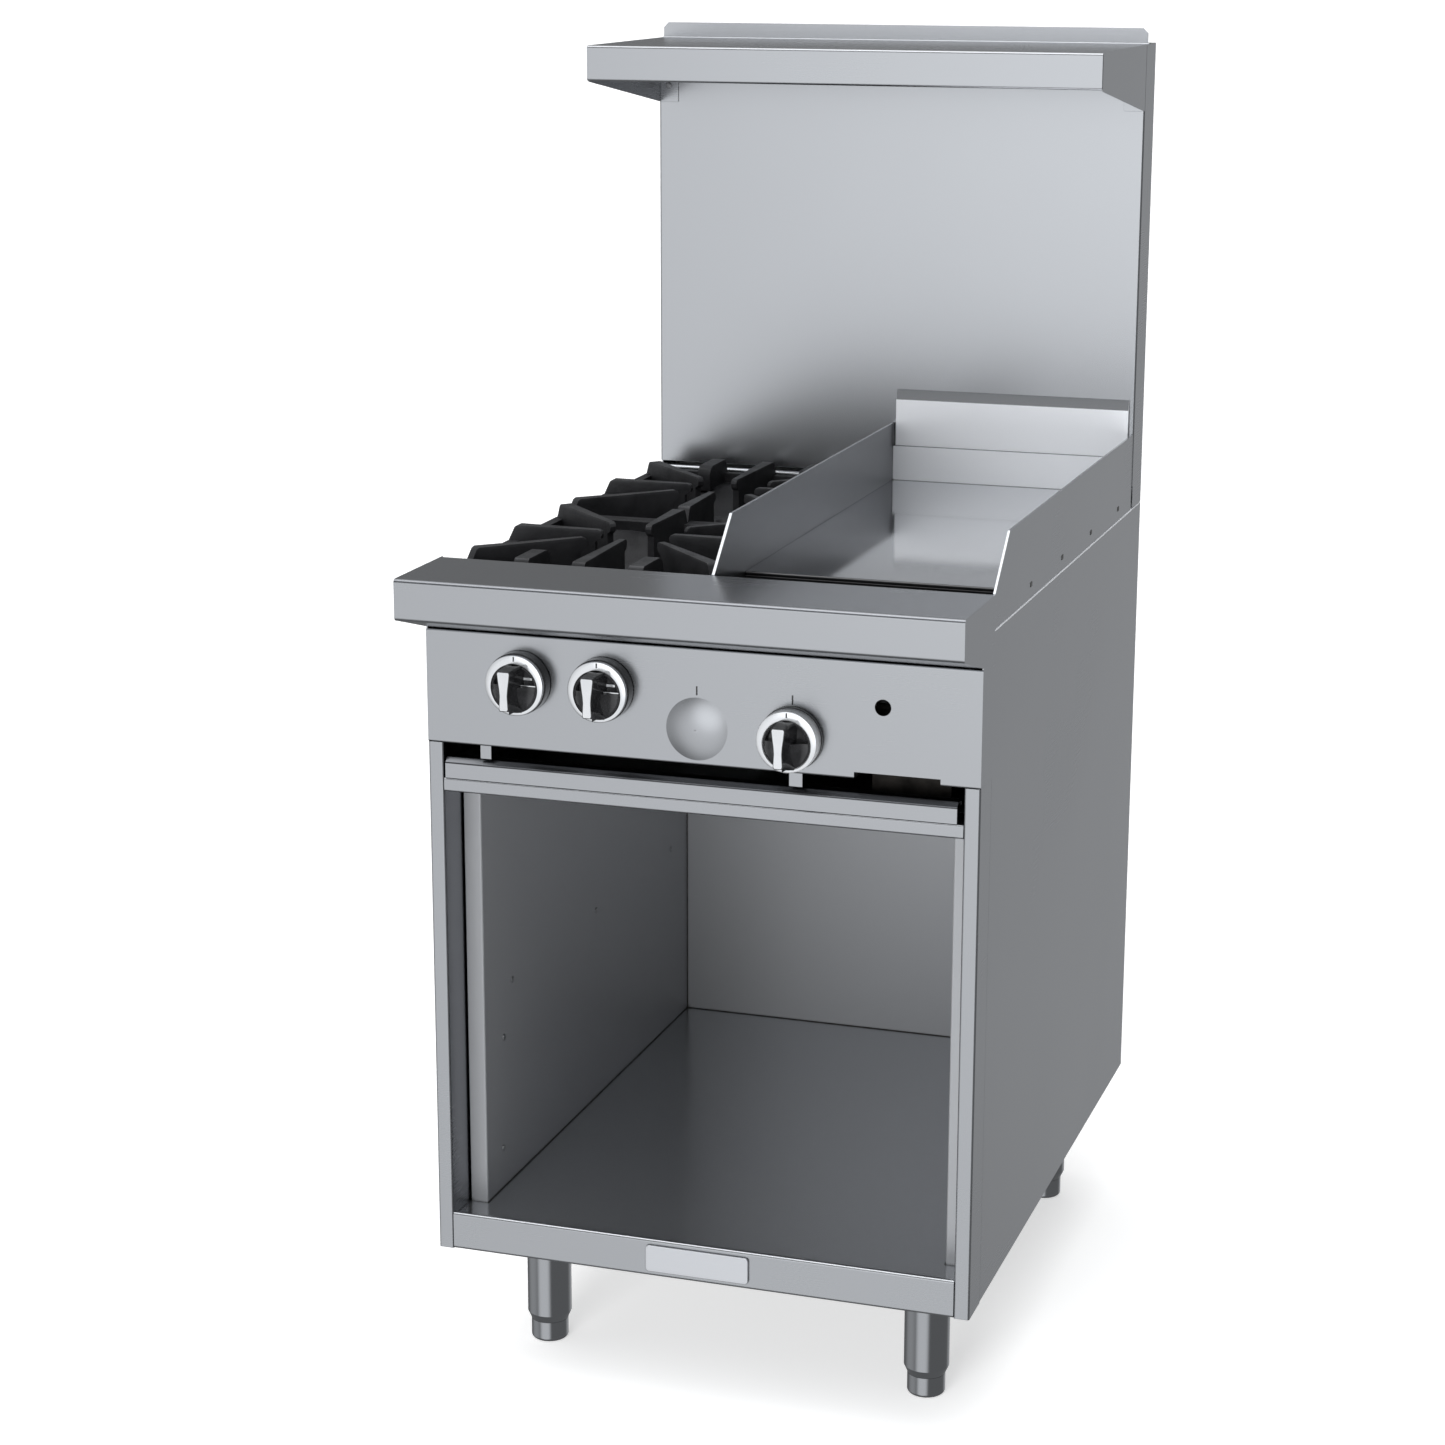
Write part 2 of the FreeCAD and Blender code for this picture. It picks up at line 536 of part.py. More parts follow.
def finger(angle, tip, outer):
    """Upright web from the rim to a rounded nose over the burner, wider at the rim."""
    nose, undercut, shoulder, lean = 5.0, 8.0, 908.0, 8.0
    root = tip + undercut
    profile = [(outer, GRATE_RIM - 6), (outer, GRATE_RIM), (outer - lean + 1, GRATE_TOP - 2),
               (outer - lean - 2, GRATE_TOP), (tip + nose, GRATE_TOP), (tip + 1.5, GRATE_TOP - 1.5),
               (tip, GRATE_TOP - nose), (tip + 1, shoulder + 2), (root, shoulder - 2),
               (root, bowl_height(root) + 2), (BOWL_HOLE_R + 8, bowl_height(BOWL_HOLE_R + 8) + 2),
               (BOWL_R, BOWL_HIGH + 2)]
    side = plate("y", (-FINGER_W_OUT, FINGER_W_OUT), profile)
    w_out, w_tip = FINGER_W_OUT / 2, FINGER_W_TIP / 2
    plan = [(tip - 1, -w_tip), (outer + 1, -w_out), (outer + 1, w_out), (tip - 1, w_tip)]
    web = side.common(plate("z", (BOWL_LOW, GRATE_TOP + 1), plan))
    web.rotate(V(0, 0, 0), V(0, 0, 1), angle)
    return web


def stub(x):
    """Short rest at the outer end of a grate, between two fingers."""
    inner, rounding = -STUB_INNER + 12, 12.0
    side = [(-GRATE_OUTER, GRATE_RIM), (-GRATE_OUTER + 7, GRATE_TOP - 2), (-GRATE_OUTER + 10, GRATE_TOP),
            (inner - rounding, GRATE_TOP), (inner - rounding / 3, GRATE_TOP - rounding / 3),
            (inner, GRATE_TOP - rounding), (inner, BOWL_HIGH + 2), (-GRATE_OUTER, BOWL_HIGH + 2)]
    return plate("x", (x - STUB_W / 2, x + STUB_W / 2), side)


def grate():
    """Cast grate with its bowl, centred on a burner, its long end towards -Y."""
    outer = [(-GRATE_X, GRATE_X), (-GRATE_OUTER, GRATE_SEAM)]
    inner = [(low + GRATE_BAR, high - GRATE_BAR) for low, high in outer]
    frame = box(*outer, (GRATE_BOTTOM, GRATE_RIM)).cut(box(*inner, (GRATE_BOTTOM - 1, GRATE_RIM + 1)))
    wide = 260.0
    profile = [(BOWL_HOLE_R, BOWL_LOW), (BOWL_R, BOWL_HIGH), (wide, BOWL_HIGH), (wide, BOWL_HIGH + BOWL_T),
               (BOWL_R - 1, BOWL_HIGH + BOWL_T), (BOWL_HOLE_R, BOWL_LOW + BOWL_T)]
    within = [(low - 1, high + 1) for low, high in inner]
    bowl = turned(profile).common(box(*within, (BOWL_LOW - 1, GRATE_RIM)))
    reach = {0: GRATE_X, 90: GRATE_SEAM, 180: GRATE_X, 270: GRATE_OUTER}
    fingers = [finger(angle, TIP_STRAIGHT, length) for angle, length in reach.items()]
    diagonal = (GRATE_X - FINGER_W_OUT / 2) * math.sqrt(2)
    corners = box(*outer, (BOWL_LOW - 1, GRATE_TOP + 1))
    fingers += [finger(angle, TIP_DIAGONAL, diagonal).common(corners) for angle in (45, 135, 225, 315)]
    return fuse([frame, bowl] + fingers + [stub(-STUB_X), stub(STUB_X)])


def front_grate():
    solid = grate()
    solid.translate(V(BURNER_X, BURNER_Y_FRONT, 0))
    return solid


def rear_grate():
    solid = grate()
    solid.rotate(V(0, 0, 0), V(0, 0, 1), 180)
    solid.translate(V(BURNER_X, BURNER_Y_REAR, 0))
    return solid


# ---- burners and gas supply ----

def pipe_run(radius, points, bend):
    """Round bar along straight runs joined by round bends."""
    points = [V(*p) for p in points]
    path, start = [], points[0]
    for before, corner, after in zip(points, points[1:], points[2:]):
        d1, d2 = (corner - before).normalize(), (after - corner).normalize()
        half = d1.getAngle(d2) / 2
        cut, inset = bend * math.tan(half), bend / math.cos(half) - bend
        first, last = corner - d1 * cut, corner + d2 * cut
        middle = corner + (d2 - d1).normalize() * inset
        path += [Part.makeLine(start, first), Part.Arc(first, middle, last).toShape()]
        start = last
    path.append(Part.makeLine(start, points[-1]))
    circle = Part.Wire(Part.makeCircle(radius, points[0], points[1] - points[0]))
    return Part.Wire(path).makePipeShell([circle], True, False)


def bell(x):
    """Air-mixing mouth of a burner, open at both sides for the air shutter."""
    body = rod(BELL_R, (x, BELL_FRONT, VENTURI_Z), (x, BELL_BACK, VENTURI_Z))
    bore = rod(BELL_R - 2, (x, BELL_FRONT + 2, VENTURI_Z), (x, BELL_BACK - 2, VENTURI_Z))
    hood = rod(HOOD_R + 1, (x, BELL_FRONT - 1, VENTURI_Z), (x, BELL_FRONT + 3, VENTURI_Z))
    window = box((x - 20, x + 20), (BELL_FRONT + 6, BELL_BACK - 5), (VENTURI_Z - 7, VENTURI_Z + 7))
    return body.cut(Part.makeCompound([bore, hood, window]))


def open_burners():
    left, middle = KNOBS["left"][0], KNOBS["middle"][0]
    routes = {BURNER_Y_FRONT: [(middle, BELL_BACK - 1), (middle, -195), (BURNER_X, BURNER_Y_FRONT)],
              BURNER_Y_REAR: [(left, BELL_BACK - 1), (left, 105), (BURNER_X, BURNER_Y_REAR)]}
    solids = []
    for y, route in routes.items():
        base = turned([(0, CROSSBAR_TOP), (THROAT_R, CROSSBAR_TOP), (THROAT_R, CAP_Z - 20),
                       (BURNER_R, CAP_Z - 6), (BURNER_R, CAP_Z), (0, CAP_Z)], (BURNER_X, y, 0))
        feed = pipe_run(VENTURI_R, [(px, py, VENTURI_Z) for px, py in route], 30)
        solids.append(fuse([base, feed, bell(route[0][0])]))
    return Part.makeCompound(solids)


def burner_caps():
    """Lift-off heads: a ring of ports round a star-lobed top."""
    caps = []
    for y in (BURNER_Y_FRONT, BURNER_Y_REAR):
        cap = turned([(0, CAP_Z), (BURNER_R, CAP_Z), (BURNER_R, CAP_TOP - 6), (BURNER_R - 6, CAP_TOP),
                      (10, CAP_TOP), (7, CAP_TOP - 4), (0, CAP_TOP - 4)], (BURNER_X, y, 0))
        slots = []
        for k in range(12):
            slot = box((BURNER_R - 8, BURNER_R + 1), (-1.5, 1.5), (CAP_Z + 5, CAP_TOP + 1))
            slot.rotate(V(0, 0, 0), V(0, 0, 1), 30 * k)
            slot.translate(V(BURNER_X, y, 0))
            slots.append(slot)
        caps.append(cap.cut(Part.makeCompound(slots)))
    return Part.makeCompound(caps)


def air_shutters():
    sleeves = []
    for x, _, _ in KNOBS.values():
        front, back = BELL_FRONT + 3, BELL_BACK - 2
        sleeve = rod(BELL_R + 1.5, (x, front, VENTURI_Z), (x, back, VENTURI_Z))
        sleeve = sleeve.cut(rod(BELL_R, (x, front - 1, VENTURI_Z), (x, back + 1, VENTURI_Z)))
        window = box((x - 22, x + 22), (front + 3, back - 3), (VENTURI_Z - 7, VENTURI_Z + 2))
        sleeves.append(sleeve.cut(window))
    return Part.makeCompound(sleeves)


def griddle_burner():
    """Forked tube burner under the griddle plate."""
    front, back = TUBE_Y
    left, right = TUBE_X
    fork = pipe_run(TUBE_R, [(x, y, VENTURI_Z) for x, y in
                             ((left, back), (left, front), (right, front), (right, back))], 25)
    x = KNOBS["right"][0]
    feed = rod(TUBE_R - 2, (x, BELL_BACK - 1, VENTURI_Z), (x, front, VENTURI_Z))
    return fuse([fork, feed, bell(x)])


def gas_manifold():
    x = (-270.0, SUPPLY_X - SOCKET)
    pipe = rod(PIPE_R, (x[0], MANIFOLD_Y, MANIFOLD_Z), (x[1], MANIFOLD_Y, MANIFOLD_Z))
    bore = rod(PIPE_BORE, (x[0] + 5, MANIFOLD_Y, MANIFOLD_Z), (x[1] + 1, MANIFOLD_Y, MANIFOLD_Z))
    return pipe.cut(bore)


def supply_pipe():
    """Elbow at the manifold's end and the pipe to the rear inlet, with a collar at the wall."""
    at = (SUPPLY_X, MANIFOLD_Y, MANIFOLD_Z)
    arm = 30.0
    corner = [(SUPPLY_X - arm, at[1], at[2]), at, (SUPPLY_X, at[1] + arm, at[2])]
    elbow = pipe_run(COLLAR_R, corner, COLLAR_R + 2)
    elbow = fuse([elbow, rod(PIPE_R, (SUPPLY_X, at[1] + arm - 1, at[2]), (SUPPLY_X, REAR, at[2])),
                  rod(COLLAR_R, (SUPPLY_X, RISER + 2 + SHEET, at[2]), (SUPPLY_X, REAR - INLET_L, at[2]))])
    socket = rod(PIPE_R, (SUPPLY_X - SOCKET, at[1], at[2]), (SUPPLY_X - arm - 1, at[1], at[2]))
    bore = pipe_run(PIPE_BORE, [(SUPPLY_X - arm - 1, at[1], at[2]), at, (SUPPLY_X, REAR + 1, at[2])],
                    COLLAR_R + 2)
    return elbow.cut(Part.makeCompound([socket, bore]))


def gas_valves():
    back = MANIFOLD_Y - PIPE_R
    valves = []
    for x, z, _ in KNOBS.values():
        body = box((x - VALVE_HALF, x + VALVE_HALF), (VALVE_FRONT, back), (z - VALVE_HALF, VENTURI_Z + 8))
        body = body.makeFillet(3.0, [e for e in body.Edges if e.BoundBox.YLength > 10])
        nose = rod(8.0, (x, VALVE_FRONT - 6, z), (x, VALVE_FRONT + 1, z))
        bore = rod(STEM_R + STEM_RUN, (x, VALVE_FRONT - 7, z), (x, STEM_BACK + 1, z))
        valves.append(fuse([body, nose]).cut(bore))
    return Part.makeCompound(valves)


def orifice_hoods():
    back = MANIFOLD_Y - PIPE_R
    return Part.makeCompound([rod(HOOD_R, (x, back, VENTURI_Z), (x, BELL_FRONT + 1, VENTURI_Z))
                              for x, _, _ in KNOBS.values()])


def pilot_burners():
    """Small tubes from the manifold to the two pilot flames."""
    start = MANIFOLD_Z + PIPE_R
    left, right = PILOT_X
    middle = (BURNER_Y_FRONT + BURNER_Y_REAR) / 2
    front = TUBE_Y[0] - 25
    tip, tip_r, turn = 11.0, 5.0, 8.0
    routes = ([(left, MANIFOLD_Y, start), (left, MANIFOLD_Y, PILOT_Z), (left, middle, PILOT_Z),
               (BURNER_X, middle, PILOT_Z), (BURNER_X, middle, PILOT_Z + 15)],
              [(right, MANIFOLD_Y, start), (right, MANIFOLD_Y, PILOT_Z), (right, front, PILOT_Z)])
    ends = ((BURNER_X, middle, PILOT_Z + 12), (right, front, PILOT_Z - 4))
    return Part.makeCompound([fuse([pipe_run(PILOT_R, route, turn),
                                    rod(tip_r, end, (end[0], end[1], end[2] + tip))])
                              for route, end in zip(routes, ends)])


# ---- griddle ----

def griddle_plate():
    slab = box(GRIDDLE, (GRIDDLE_FRONT, GRIDDLE_BACK), (SIDE_TOP + 4, PLATE_TOP))
    slab = slab.makeFillet(2.0, [e for e in slab.Edges if e.BoundBox.YMax < GRIDDLE_FRONT + 1
                                 and e.BoundBox.XLength > 100 and e.BoundBox.ZMin > PLATE_TOP - 1])
    rails = [box(x, (GRIDDLE_FRONT + 6, GRIDDLE_BACK), (SIDE_TOP, SIDE_TOP + 4.5))
             for x in ((GRIDDLE[0], GRIDDLE[0] + 12), (GRIDDLE[1] - 12, GRIDDLE[1]))]
    return fuse([slab] + rails)


def griddle_splashes():
    outline = [(POST_BACK, SIDE_TOP), (POST_BACK, RAIL_TOP), (POST_BACK + SPLASH_SLOPE, SPLASH_TOP),
               (RISER - 2, SPLASH_TOP), (RISER - 2, SIDE_TOP)]
    outer = HALF - SPLASH_SET_IN
    slots = [box((outer - 1, HALF), (y - SLOT_W / 2, y + SLOT_W / 2), SLOT_Z) for y in SLOT_Y]
    left = plate("x", (GRIDDLE[0] - SPLASH_T, GRIDDLE[0]), outline)
    right = plate("x", (GRIDDLE[1], outer), outline).cut(Part.makeCompound(slots))
    return Part.makeCompound([left, right])


def griddle_backsplash():
    """Upright plate behind the griddle and the sloped cap sheet above it."""
    left, right = GRIDDLE[0], GRIDDLE[1] - 3.5
    lower = box((left, right), (GRIDDLE_BACK - 1, GRIDDLE_BACK + 3), (PLATE_TOP, CAP_SEAM))
    section = [(GRIDDLE_BACK + 1, CAP_SEAM), (GRIDDLE_BACK + 1, CAP_BEND), (RISER - 1.5, CAP_BEND + CAP_RISE)]
    upper = folded("x", (left + 3, right), section)
    return Part.makeCompound([lower, upper])


def grease_trough():
    """Front gutter of the griddle and the chute that drains it."""
    wall, floor = 2.0, DECK + SHEET
    section = [(GRIDDLE_FRONT, TROUGH_BACK), (GRIDDLE_FRONT, floor), (REVEAL, floor), (REVEAL, TROUGH_FRONT)]
    gutter = folded("x", GRIDDLE, section, wall, bend=3.0)
    duct = box(CHUTE_X, CHUTE_Y, (CHUTE_BOTTOM, floor + 0.5))
    inside = box((CHUTE_X[0] + THIN, CHUTE_X[1] - THIN), (CHUTE_Y[0] + THIN, CHUTE_Y[1] - THIN),
                 (CHUTE_BOTTOM - 1, floor + wall + 1))
    return fuse([gutter, duct]).cut(inside)


# ---- drawers ----

def open_tub(x, y, bottom, top, wall=THIN):
    inside = box((x[0] + wall, x[1] - wall), (y[0] + wall, y[1] - wall), (bottom + wall, top + 1))
    return box(x, y, (bottom, top)).cut(inside)


def crumb_tray():
    bottom = TRAY_BOTTOM + TRAY_GAP
    tub = open_tub(TRAY_X, (FACE, TRAY_BACK), bottom, TRAY_WALL_TOP)
    back = FACE + TRAY_LIP_DEPTH
    front = folded("x", TRAY_X, [(FACE, bottom), (FACE, TRAY_FACE_TOP), (FACE + 6, TRAY_LIP_TOP - 1.5),
                                 (back - 6, TRAY_LIP_TOP), (back, TRAY_LIP_TOP - 3),
                                 (back, TRAY_LIP_TOP - 8)], THIN, bend=2.0)
    return fuse([tub, front])


def grease_pan():
    bottom = TRAY_BOTTOM + TRAY_GAP + THIN
    return open_tub(PAN_X, PAN_Y, bottom, PAN_TOP)


# ---- knobs ----

def bezel_blank(back):
    """Ring that is broad at the top, where its index mark goes, since the hub sits low in it."""
    disc = turned([(0, back), (BEZEL_R, back), (BEZEL_R, BEZEL_FRONT - 3),
                   (BEZEL_R - 1, BEZEL_FRONT - 1.5), (BEZEL_R - 3, BEZEL_FRONT), (0, BEZEL_FRONT)])
    return disc.cut(Part.makeCylinder(HUB_R, BEZEL_FRONT - back + 2, V(0, -HUB_DROP, back - 1)))


def grip_bar():
    """Hourglass bar across the hub, narrower at its front face."""
    def outline(points, height):
        right = [V(x, z, height) for x, z in points]
        left = [V(-x, z, height) for x, z in reversed(points)]
        return Part.makePolygon(right + left + right[:1])

    base = outline([(8.0, 24.0), (7.0, 2.0), (10.0, -22.0), (6.5, -30.0)], 14)
    face = outline([(6.5, 21.0), (3.3, -3.0), (4.2, -18.0), (3.0, -21.0)], GRIP_FRONT)
    return Part.makeLoft([base, face], True, True)


def knob(x, z, skirt):
    floor = 15.0
    dome_top, dome_edge = 27.0, 21.0
    rise = dome_top - dome_edge
    radius = (HUB_R ** 2 + rise ** 2) / (2 * rise)
    body = Part.makeCylinder(KNOB_R, skirt - KNOB_GAP, V(0, 0, KNOB_GAP))
    hub = Part.makeCylinder(HUB_R, floor - KNOB_GAP - 1, V(0, -HUB_DROP, KNOB_GAP + 1))
    dome = Part.makeSphere(radius, V(0, -HUB_DROP, dome_top - radius)).common(
        Part.makeCylinder(HUB_R, dome_top, V(0, -HUB_DROP, 2)))
    lower = dome.common(box((-HUB_R, HUB_R), (-HUB_R - HUB_DROP, 0), (floor - 1, dome_top + 1)))
    bar = grip_bar().cut(bezel_blank(skirt))
    bore = rod(STEM_R, (0, 0, 0), (0, 0, FACE - STEM_FRONT))
    return to_front(fuse([body, hub, lower, bar]).cut(bore), x, z)


def knob_bezel(x, z, skirt):
    return to_front(bezel_blank(skirt), x, z)


def valve_stem(x, z):
    return rod(STEM_R, (x, STEM_FRONT, z), (x, STEM_BACK, z))


def main():
    os.makedirs("parts", exist_ok=True)
    right_liner = liner_side()
    nodes = {"legs": legs(), "leg_bolts": leg_bolts(), "base_pan": base_pan(), "kick_panel": kick_panel(),
             "badge_plate": badge_plate(), "front_posts": front_posts(),
             "side_panel_right": side_panel_right(), "side_panel_left": side_panel_left(),
             "cross_rail": cross_rail(), "cabinet_floor": cabinet_floor(),
             "liner_right": right_liner, "liner_left": flipped(right_liner), "liner_back": liner_back(),
             "cabinet_ceiling": cabinet_ceiling(), "tray_runners": tray_runners(),
             "panel_screws": panel_screws(), "control_panel": control_panel(), "blank_plug": blank_plug(),
             "plate_rail": plate_rail(), "backguard": backguard(), "rear_panel": rear_panel(),
             "high_shelf": high_shelf(), "shelf_brackets": shelf_brackets(),
             "burner_box_front": burner_box_front(), "burner_box_rear": burner_box_rear(),
             "heat_shields": heat_shields(), "center_divider": center_divider(), "rear_trim": rear_trim(),
             "burner_crossbars": burner_crossbars(), "front_grate": front_grate(),
             "rear_grate": rear_grate(), "open_burners": open_burners(), "burner_caps": burner_caps(),
             "air_shutters": air_shutters(), "griddle_burner": griddle_burner(),
             "gas_manifold": gas_manifold(), "supply_pipe": supply_pipe(), "gas_valves": gas_valves(),
             "orifice_hoods": orifice_hoods(), "pilot_burners": pilot_burners(),
             "griddle_plate": griddle_plate(), "griddle_splashes": griddle_splashes(),
             "griddle_backsplash": griddle_backsplash(), "grease_trough": grease_trough(),
             "crumb_tray": crumb_tray(), "grease_pan": grease_pan()}
    for name, (x, y) in leg_places().items():
        nodes[f"foot_{name}"] = foot(x, y)
    for name, (x, z, skirt) in KNOBS.items():
        nodes[f"knob_{name}"] = knob(x, z, skirt)
        nodes[f"bezel_{name}"] = knob_bezel(x, z, skirt)
        nodes[f"stem_{name}"] = valve_stem(x, z)
    for name, shape in nodes.items():
        save(name, shape)
        volume = shape.Volume / 1000
        print(f"{name:20s} solids {len(shape.Solids)} valid {shape.isValid()} volume {volume:.1f} cm3")
    print("nodes", len(nodes))


main()
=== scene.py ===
"""Looks of the commercial gas range: materials, finer pieces, studio, camera."""
import json
import math

import bmesh
import bpy
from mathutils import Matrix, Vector


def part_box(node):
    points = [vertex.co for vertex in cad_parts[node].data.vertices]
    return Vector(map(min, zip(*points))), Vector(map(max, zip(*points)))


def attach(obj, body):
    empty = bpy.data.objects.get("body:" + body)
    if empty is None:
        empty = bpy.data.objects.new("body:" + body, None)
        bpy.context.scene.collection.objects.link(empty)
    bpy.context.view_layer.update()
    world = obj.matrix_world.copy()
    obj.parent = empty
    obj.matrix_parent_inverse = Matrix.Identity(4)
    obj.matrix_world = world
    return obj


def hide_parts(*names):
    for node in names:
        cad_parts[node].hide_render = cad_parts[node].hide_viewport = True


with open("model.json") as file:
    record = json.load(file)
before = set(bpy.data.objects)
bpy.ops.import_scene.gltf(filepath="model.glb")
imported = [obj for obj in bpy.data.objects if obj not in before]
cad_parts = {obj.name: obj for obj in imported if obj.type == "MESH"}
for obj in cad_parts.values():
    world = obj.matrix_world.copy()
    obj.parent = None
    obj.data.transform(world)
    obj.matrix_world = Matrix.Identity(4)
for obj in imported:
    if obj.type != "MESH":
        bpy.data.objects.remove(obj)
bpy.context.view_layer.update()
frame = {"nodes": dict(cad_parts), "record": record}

MM = 0.001
STEEL = (0.52, 0.53, 0.55)
# Darker copy of the steel's tint: painted shade for faces that stand in shade
SHADE_STEEL = (0.30, 0.307, 0.325)
GRAIN, GRAIN_DEPTH = 1100.0, 0.0000001      # hairlines per metre, and their depth in metres
NODES = frame["nodes"]
BODIES = frame["record"]["behaviour"]["bodies"]
BODY_OF = {node: body for body, members in BODIES.items() for node in members}
SLOT_OF = {row["node"]: row["material_slot"] for row in frame["record"]["subparts"]}


# ---- material building blocks ----

def set_range(node, from_low, from_high, low, high):
    for key, number in zip(("From Min", "From Max", "To Min", "To Max"), (from_low, from_high, low, high)):
        node.inputs[key].default_value = number


class Shader:
    """A Principled material with short calls for its procedural nodes."""

    def __init__(self, name, metallic=0.0, roughness=0.5, **sockets):
        self.material = bpy.data.materials.new(name)
        self.material.use_nodes = True
        self.tree = self.material.node_tree
        self.bsdf = self.tree.nodes["Principled BSDF"]
        self.set(metallic=metallic, roughness=roughness, **sockets)
        self.place = self.node("ShaderNodeTexCoord").outputs["Object"]

    def node(self, kind, **properties):
        made = self.tree.nodes.new(kind)
        for key, value in properties.items():
            setattr(made, key, value)
        return made

    def link(self, output, target):
        self.tree.links.new(output, target)

    def set(self, **sockets):
        for key, value in sockets.items():
            self.bsdf.inputs[key.replace("_", " ").title().replace("Ior", "IOR")].default_value = value

    def noise(self, scale, detail=3.0, rough=0.5, stretch=(1, 1, 1)):
        """Noise in object space; scale is in cells per metre."""
        mapping = self.node("ShaderNodeMapping")
        mapping.inputs["Scale"].default_value = [s * scale for s in stretch]
        self.link(self.place, mapping.inputs["Vector"])
        noise = self.node("ShaderNodeTexNoise")
        noise.inputs["Scale"].default_value = 1.0
        noise.inputs["Detail"].default_value = detail
        noise.inputs["Roughness"].default_value = rough
        self.link(mapping.outputs[0], noise.inputs["Vector"])
        return noise.outputs["Fac"]

    def cells(self, scale, output="Color"):
        voronoi = self.node("ShaderNodeTexVoronoi")
        voronoi.inputs["Scale"].default_value = scale
        self.link(self.place, voronoi.inputs["Vector"])
        return voronoi.outputs[output]

    def spread(self, value, low, high, from_low=0.3, from_high=0.7):
        """Map a 0-1 value to a range, clamped."""
        ramp = self.node("ShaderNodeMapRange")
        set_range(ramp, from_low, from_high, low, high)
        self.link(value, ramp.inputs["Value"])
        return ramp.outputs["Result"]

    def sum(self, first, second, operation="ADD"):
        made = self.node("ShaderNodeMath", operation=operation)
        for value, target in zip((first, second), made.inputs):
            if isinstance(value, (int, float)):
                target.default_value = value
            else:
                self.link(value, target)
        return made.outputs[0]

    def mix(self, factor, first, second):
        made = self.node("ShaderNodeMix", data_type="RGBA")
        if isinstance(factor, (int, float)):
            made.inputs[0].default_value = factor
        else:
            self.link(factor, made.inputs[0])
        for value, target in zip((first, second), (made.inputs[6], made.inputs[7])):
            if isinstance(value, tuple):
                target.default_value = (*value, 1.0)
            else:
                self.link(value, target)
        return made.outputs[2]

    def occlusion_shade(self, reach):
        """Painted-shade mask from ambient occlusion: 1 on open faces, falling to 0 in joints and inner
        corners closer than reach.
        """
        made = self.node("ShaderNodeAmbientOcclusion", samples=4)
        made.inputs["Distance"].default_value = reach
        return self.spread(made.outputs["AO"], 0.0, 1.0, 0.3, 0.7)

    def along(self, axis):
        """Position on the object along one axis, in metres."""
        split = self.node("ShaderNodeSeparateXYZ")
        self.link(self.place, split.inputs[0])
        return split.outputs[axis]

    def color(self, output):
        self.link(output, self.bsdf.inputs["Base Color"])

    def roughness(self, output):
        self.link(output, self.bsdf.inputs["Roughness"])

    def metallic(self, output):
        self.link(output, self.bsdf.inputs["Metallic"])

    def bump(self, output, distance, strength=1.0):
        made = self.node("ShaderNodeBump")
        made.inputs["Distance"].default_value = distance
        made.inputs["Strength"].default_value = strength
        self.link(output, made.inputs["Height"])
        self.link(made.outputs[0], self.bsdf.inputs["Normal"])


def shade(tint, factor):
    return tuple(channel * factor for channel in tint)


def brushed(name, tint, roughness, along, contrast=0.002, metallic=1.0, seam=0.003):
    """Satin sheet: hair-fine lines along one axis, faint hand smudges, and painted shade that darkens its
    joints and inner corners.
    """
    s = Shader(name, metallic=metallic)
    stretch = [0.012 if axis == along else 1.0 for axis in "xyz"]
    lines = s.noise(GRAIN, detail=2.0, rough=0.6, stretch=stretch)
    cloud = s.noise(4.0, detail=2.0)
    toned = s.mix(s.spread(cloud, 0.0, 1.0), shade(tint, 1 - contrast), shade(tint, 1 + contrast))
    grained = s.mix(s.spread(lines, 0.0, 0.5), toned, shade(tint, 1 + 2 * contrast))
    # Painted shade: near black in joints and inner corners, from the occlusion mask
    s.color(s.mix(s.occlusion_shade(seam), shade(tint, 0.08), grained))
    hairlines = s.spread(lines, roughness - 0.002, roughness + 0.002)
    s.roughness(s.sum(hairlines, s.spread(cloud, -0.006, 0.006)))
    s.bump(lines, GRAIN_DEPTH)
    return s.material


def stainless():
    return brushed("stainless", STEEL, 0.27, "x")


def stainless_upright():
    return brushed("stainless_upright", STEEL, 0.26, "z")


# Darker copy of the stainless, its grain along y: painted shade for the side panels and the side-facing
# faces of the front steels
def shaded_side_stainless():
    return brushed("shaded_side_stainless", SHADE_STEEL, 0.27, "y")


def liner_steel():
    return brushed("liner_steel", shade(STEEL, 0.86), 0.40, "z", metallic=0.6, seam=0.006)


def splash_steel():
    """Inner face of the left splash guard: a darker copy of the steel, painted shade."""
    return brushed("splash_steel", shade(SHADE_STEEL, 0.68), 0.30, "y")


# Near-black copy of the steel: painted shade in the grease trough and on the griddle plate's front faces
def shaded_trough_steel():
    return brushed("shaded_trough_steel", (0.10, 0.10, 0.102), 0.30, "x", contrast=0.05)


def floor_steel():
    return brushed("floor_steel", shade(STEEL, 1.1), 0.22, "x", metallic=0.92, seam=0.006)


# Near-white, mostly diffuse copy of the steel: painted light on the backsplash's front and on the side
# panels' top edges
def backsplash_steel():
    return brushed("backsplash_steel", shade(STEEL, 1.78), 0.34, "z", metallic=0.15)


def leg_steel():
    return brushed("leg_steel", shade(STEEL, 0.9), 0.15, "z")


def badge_metal():
    return brushed("badge", (0.80, 0.81, 0.84), 0.30, "x", contrast=0.015)


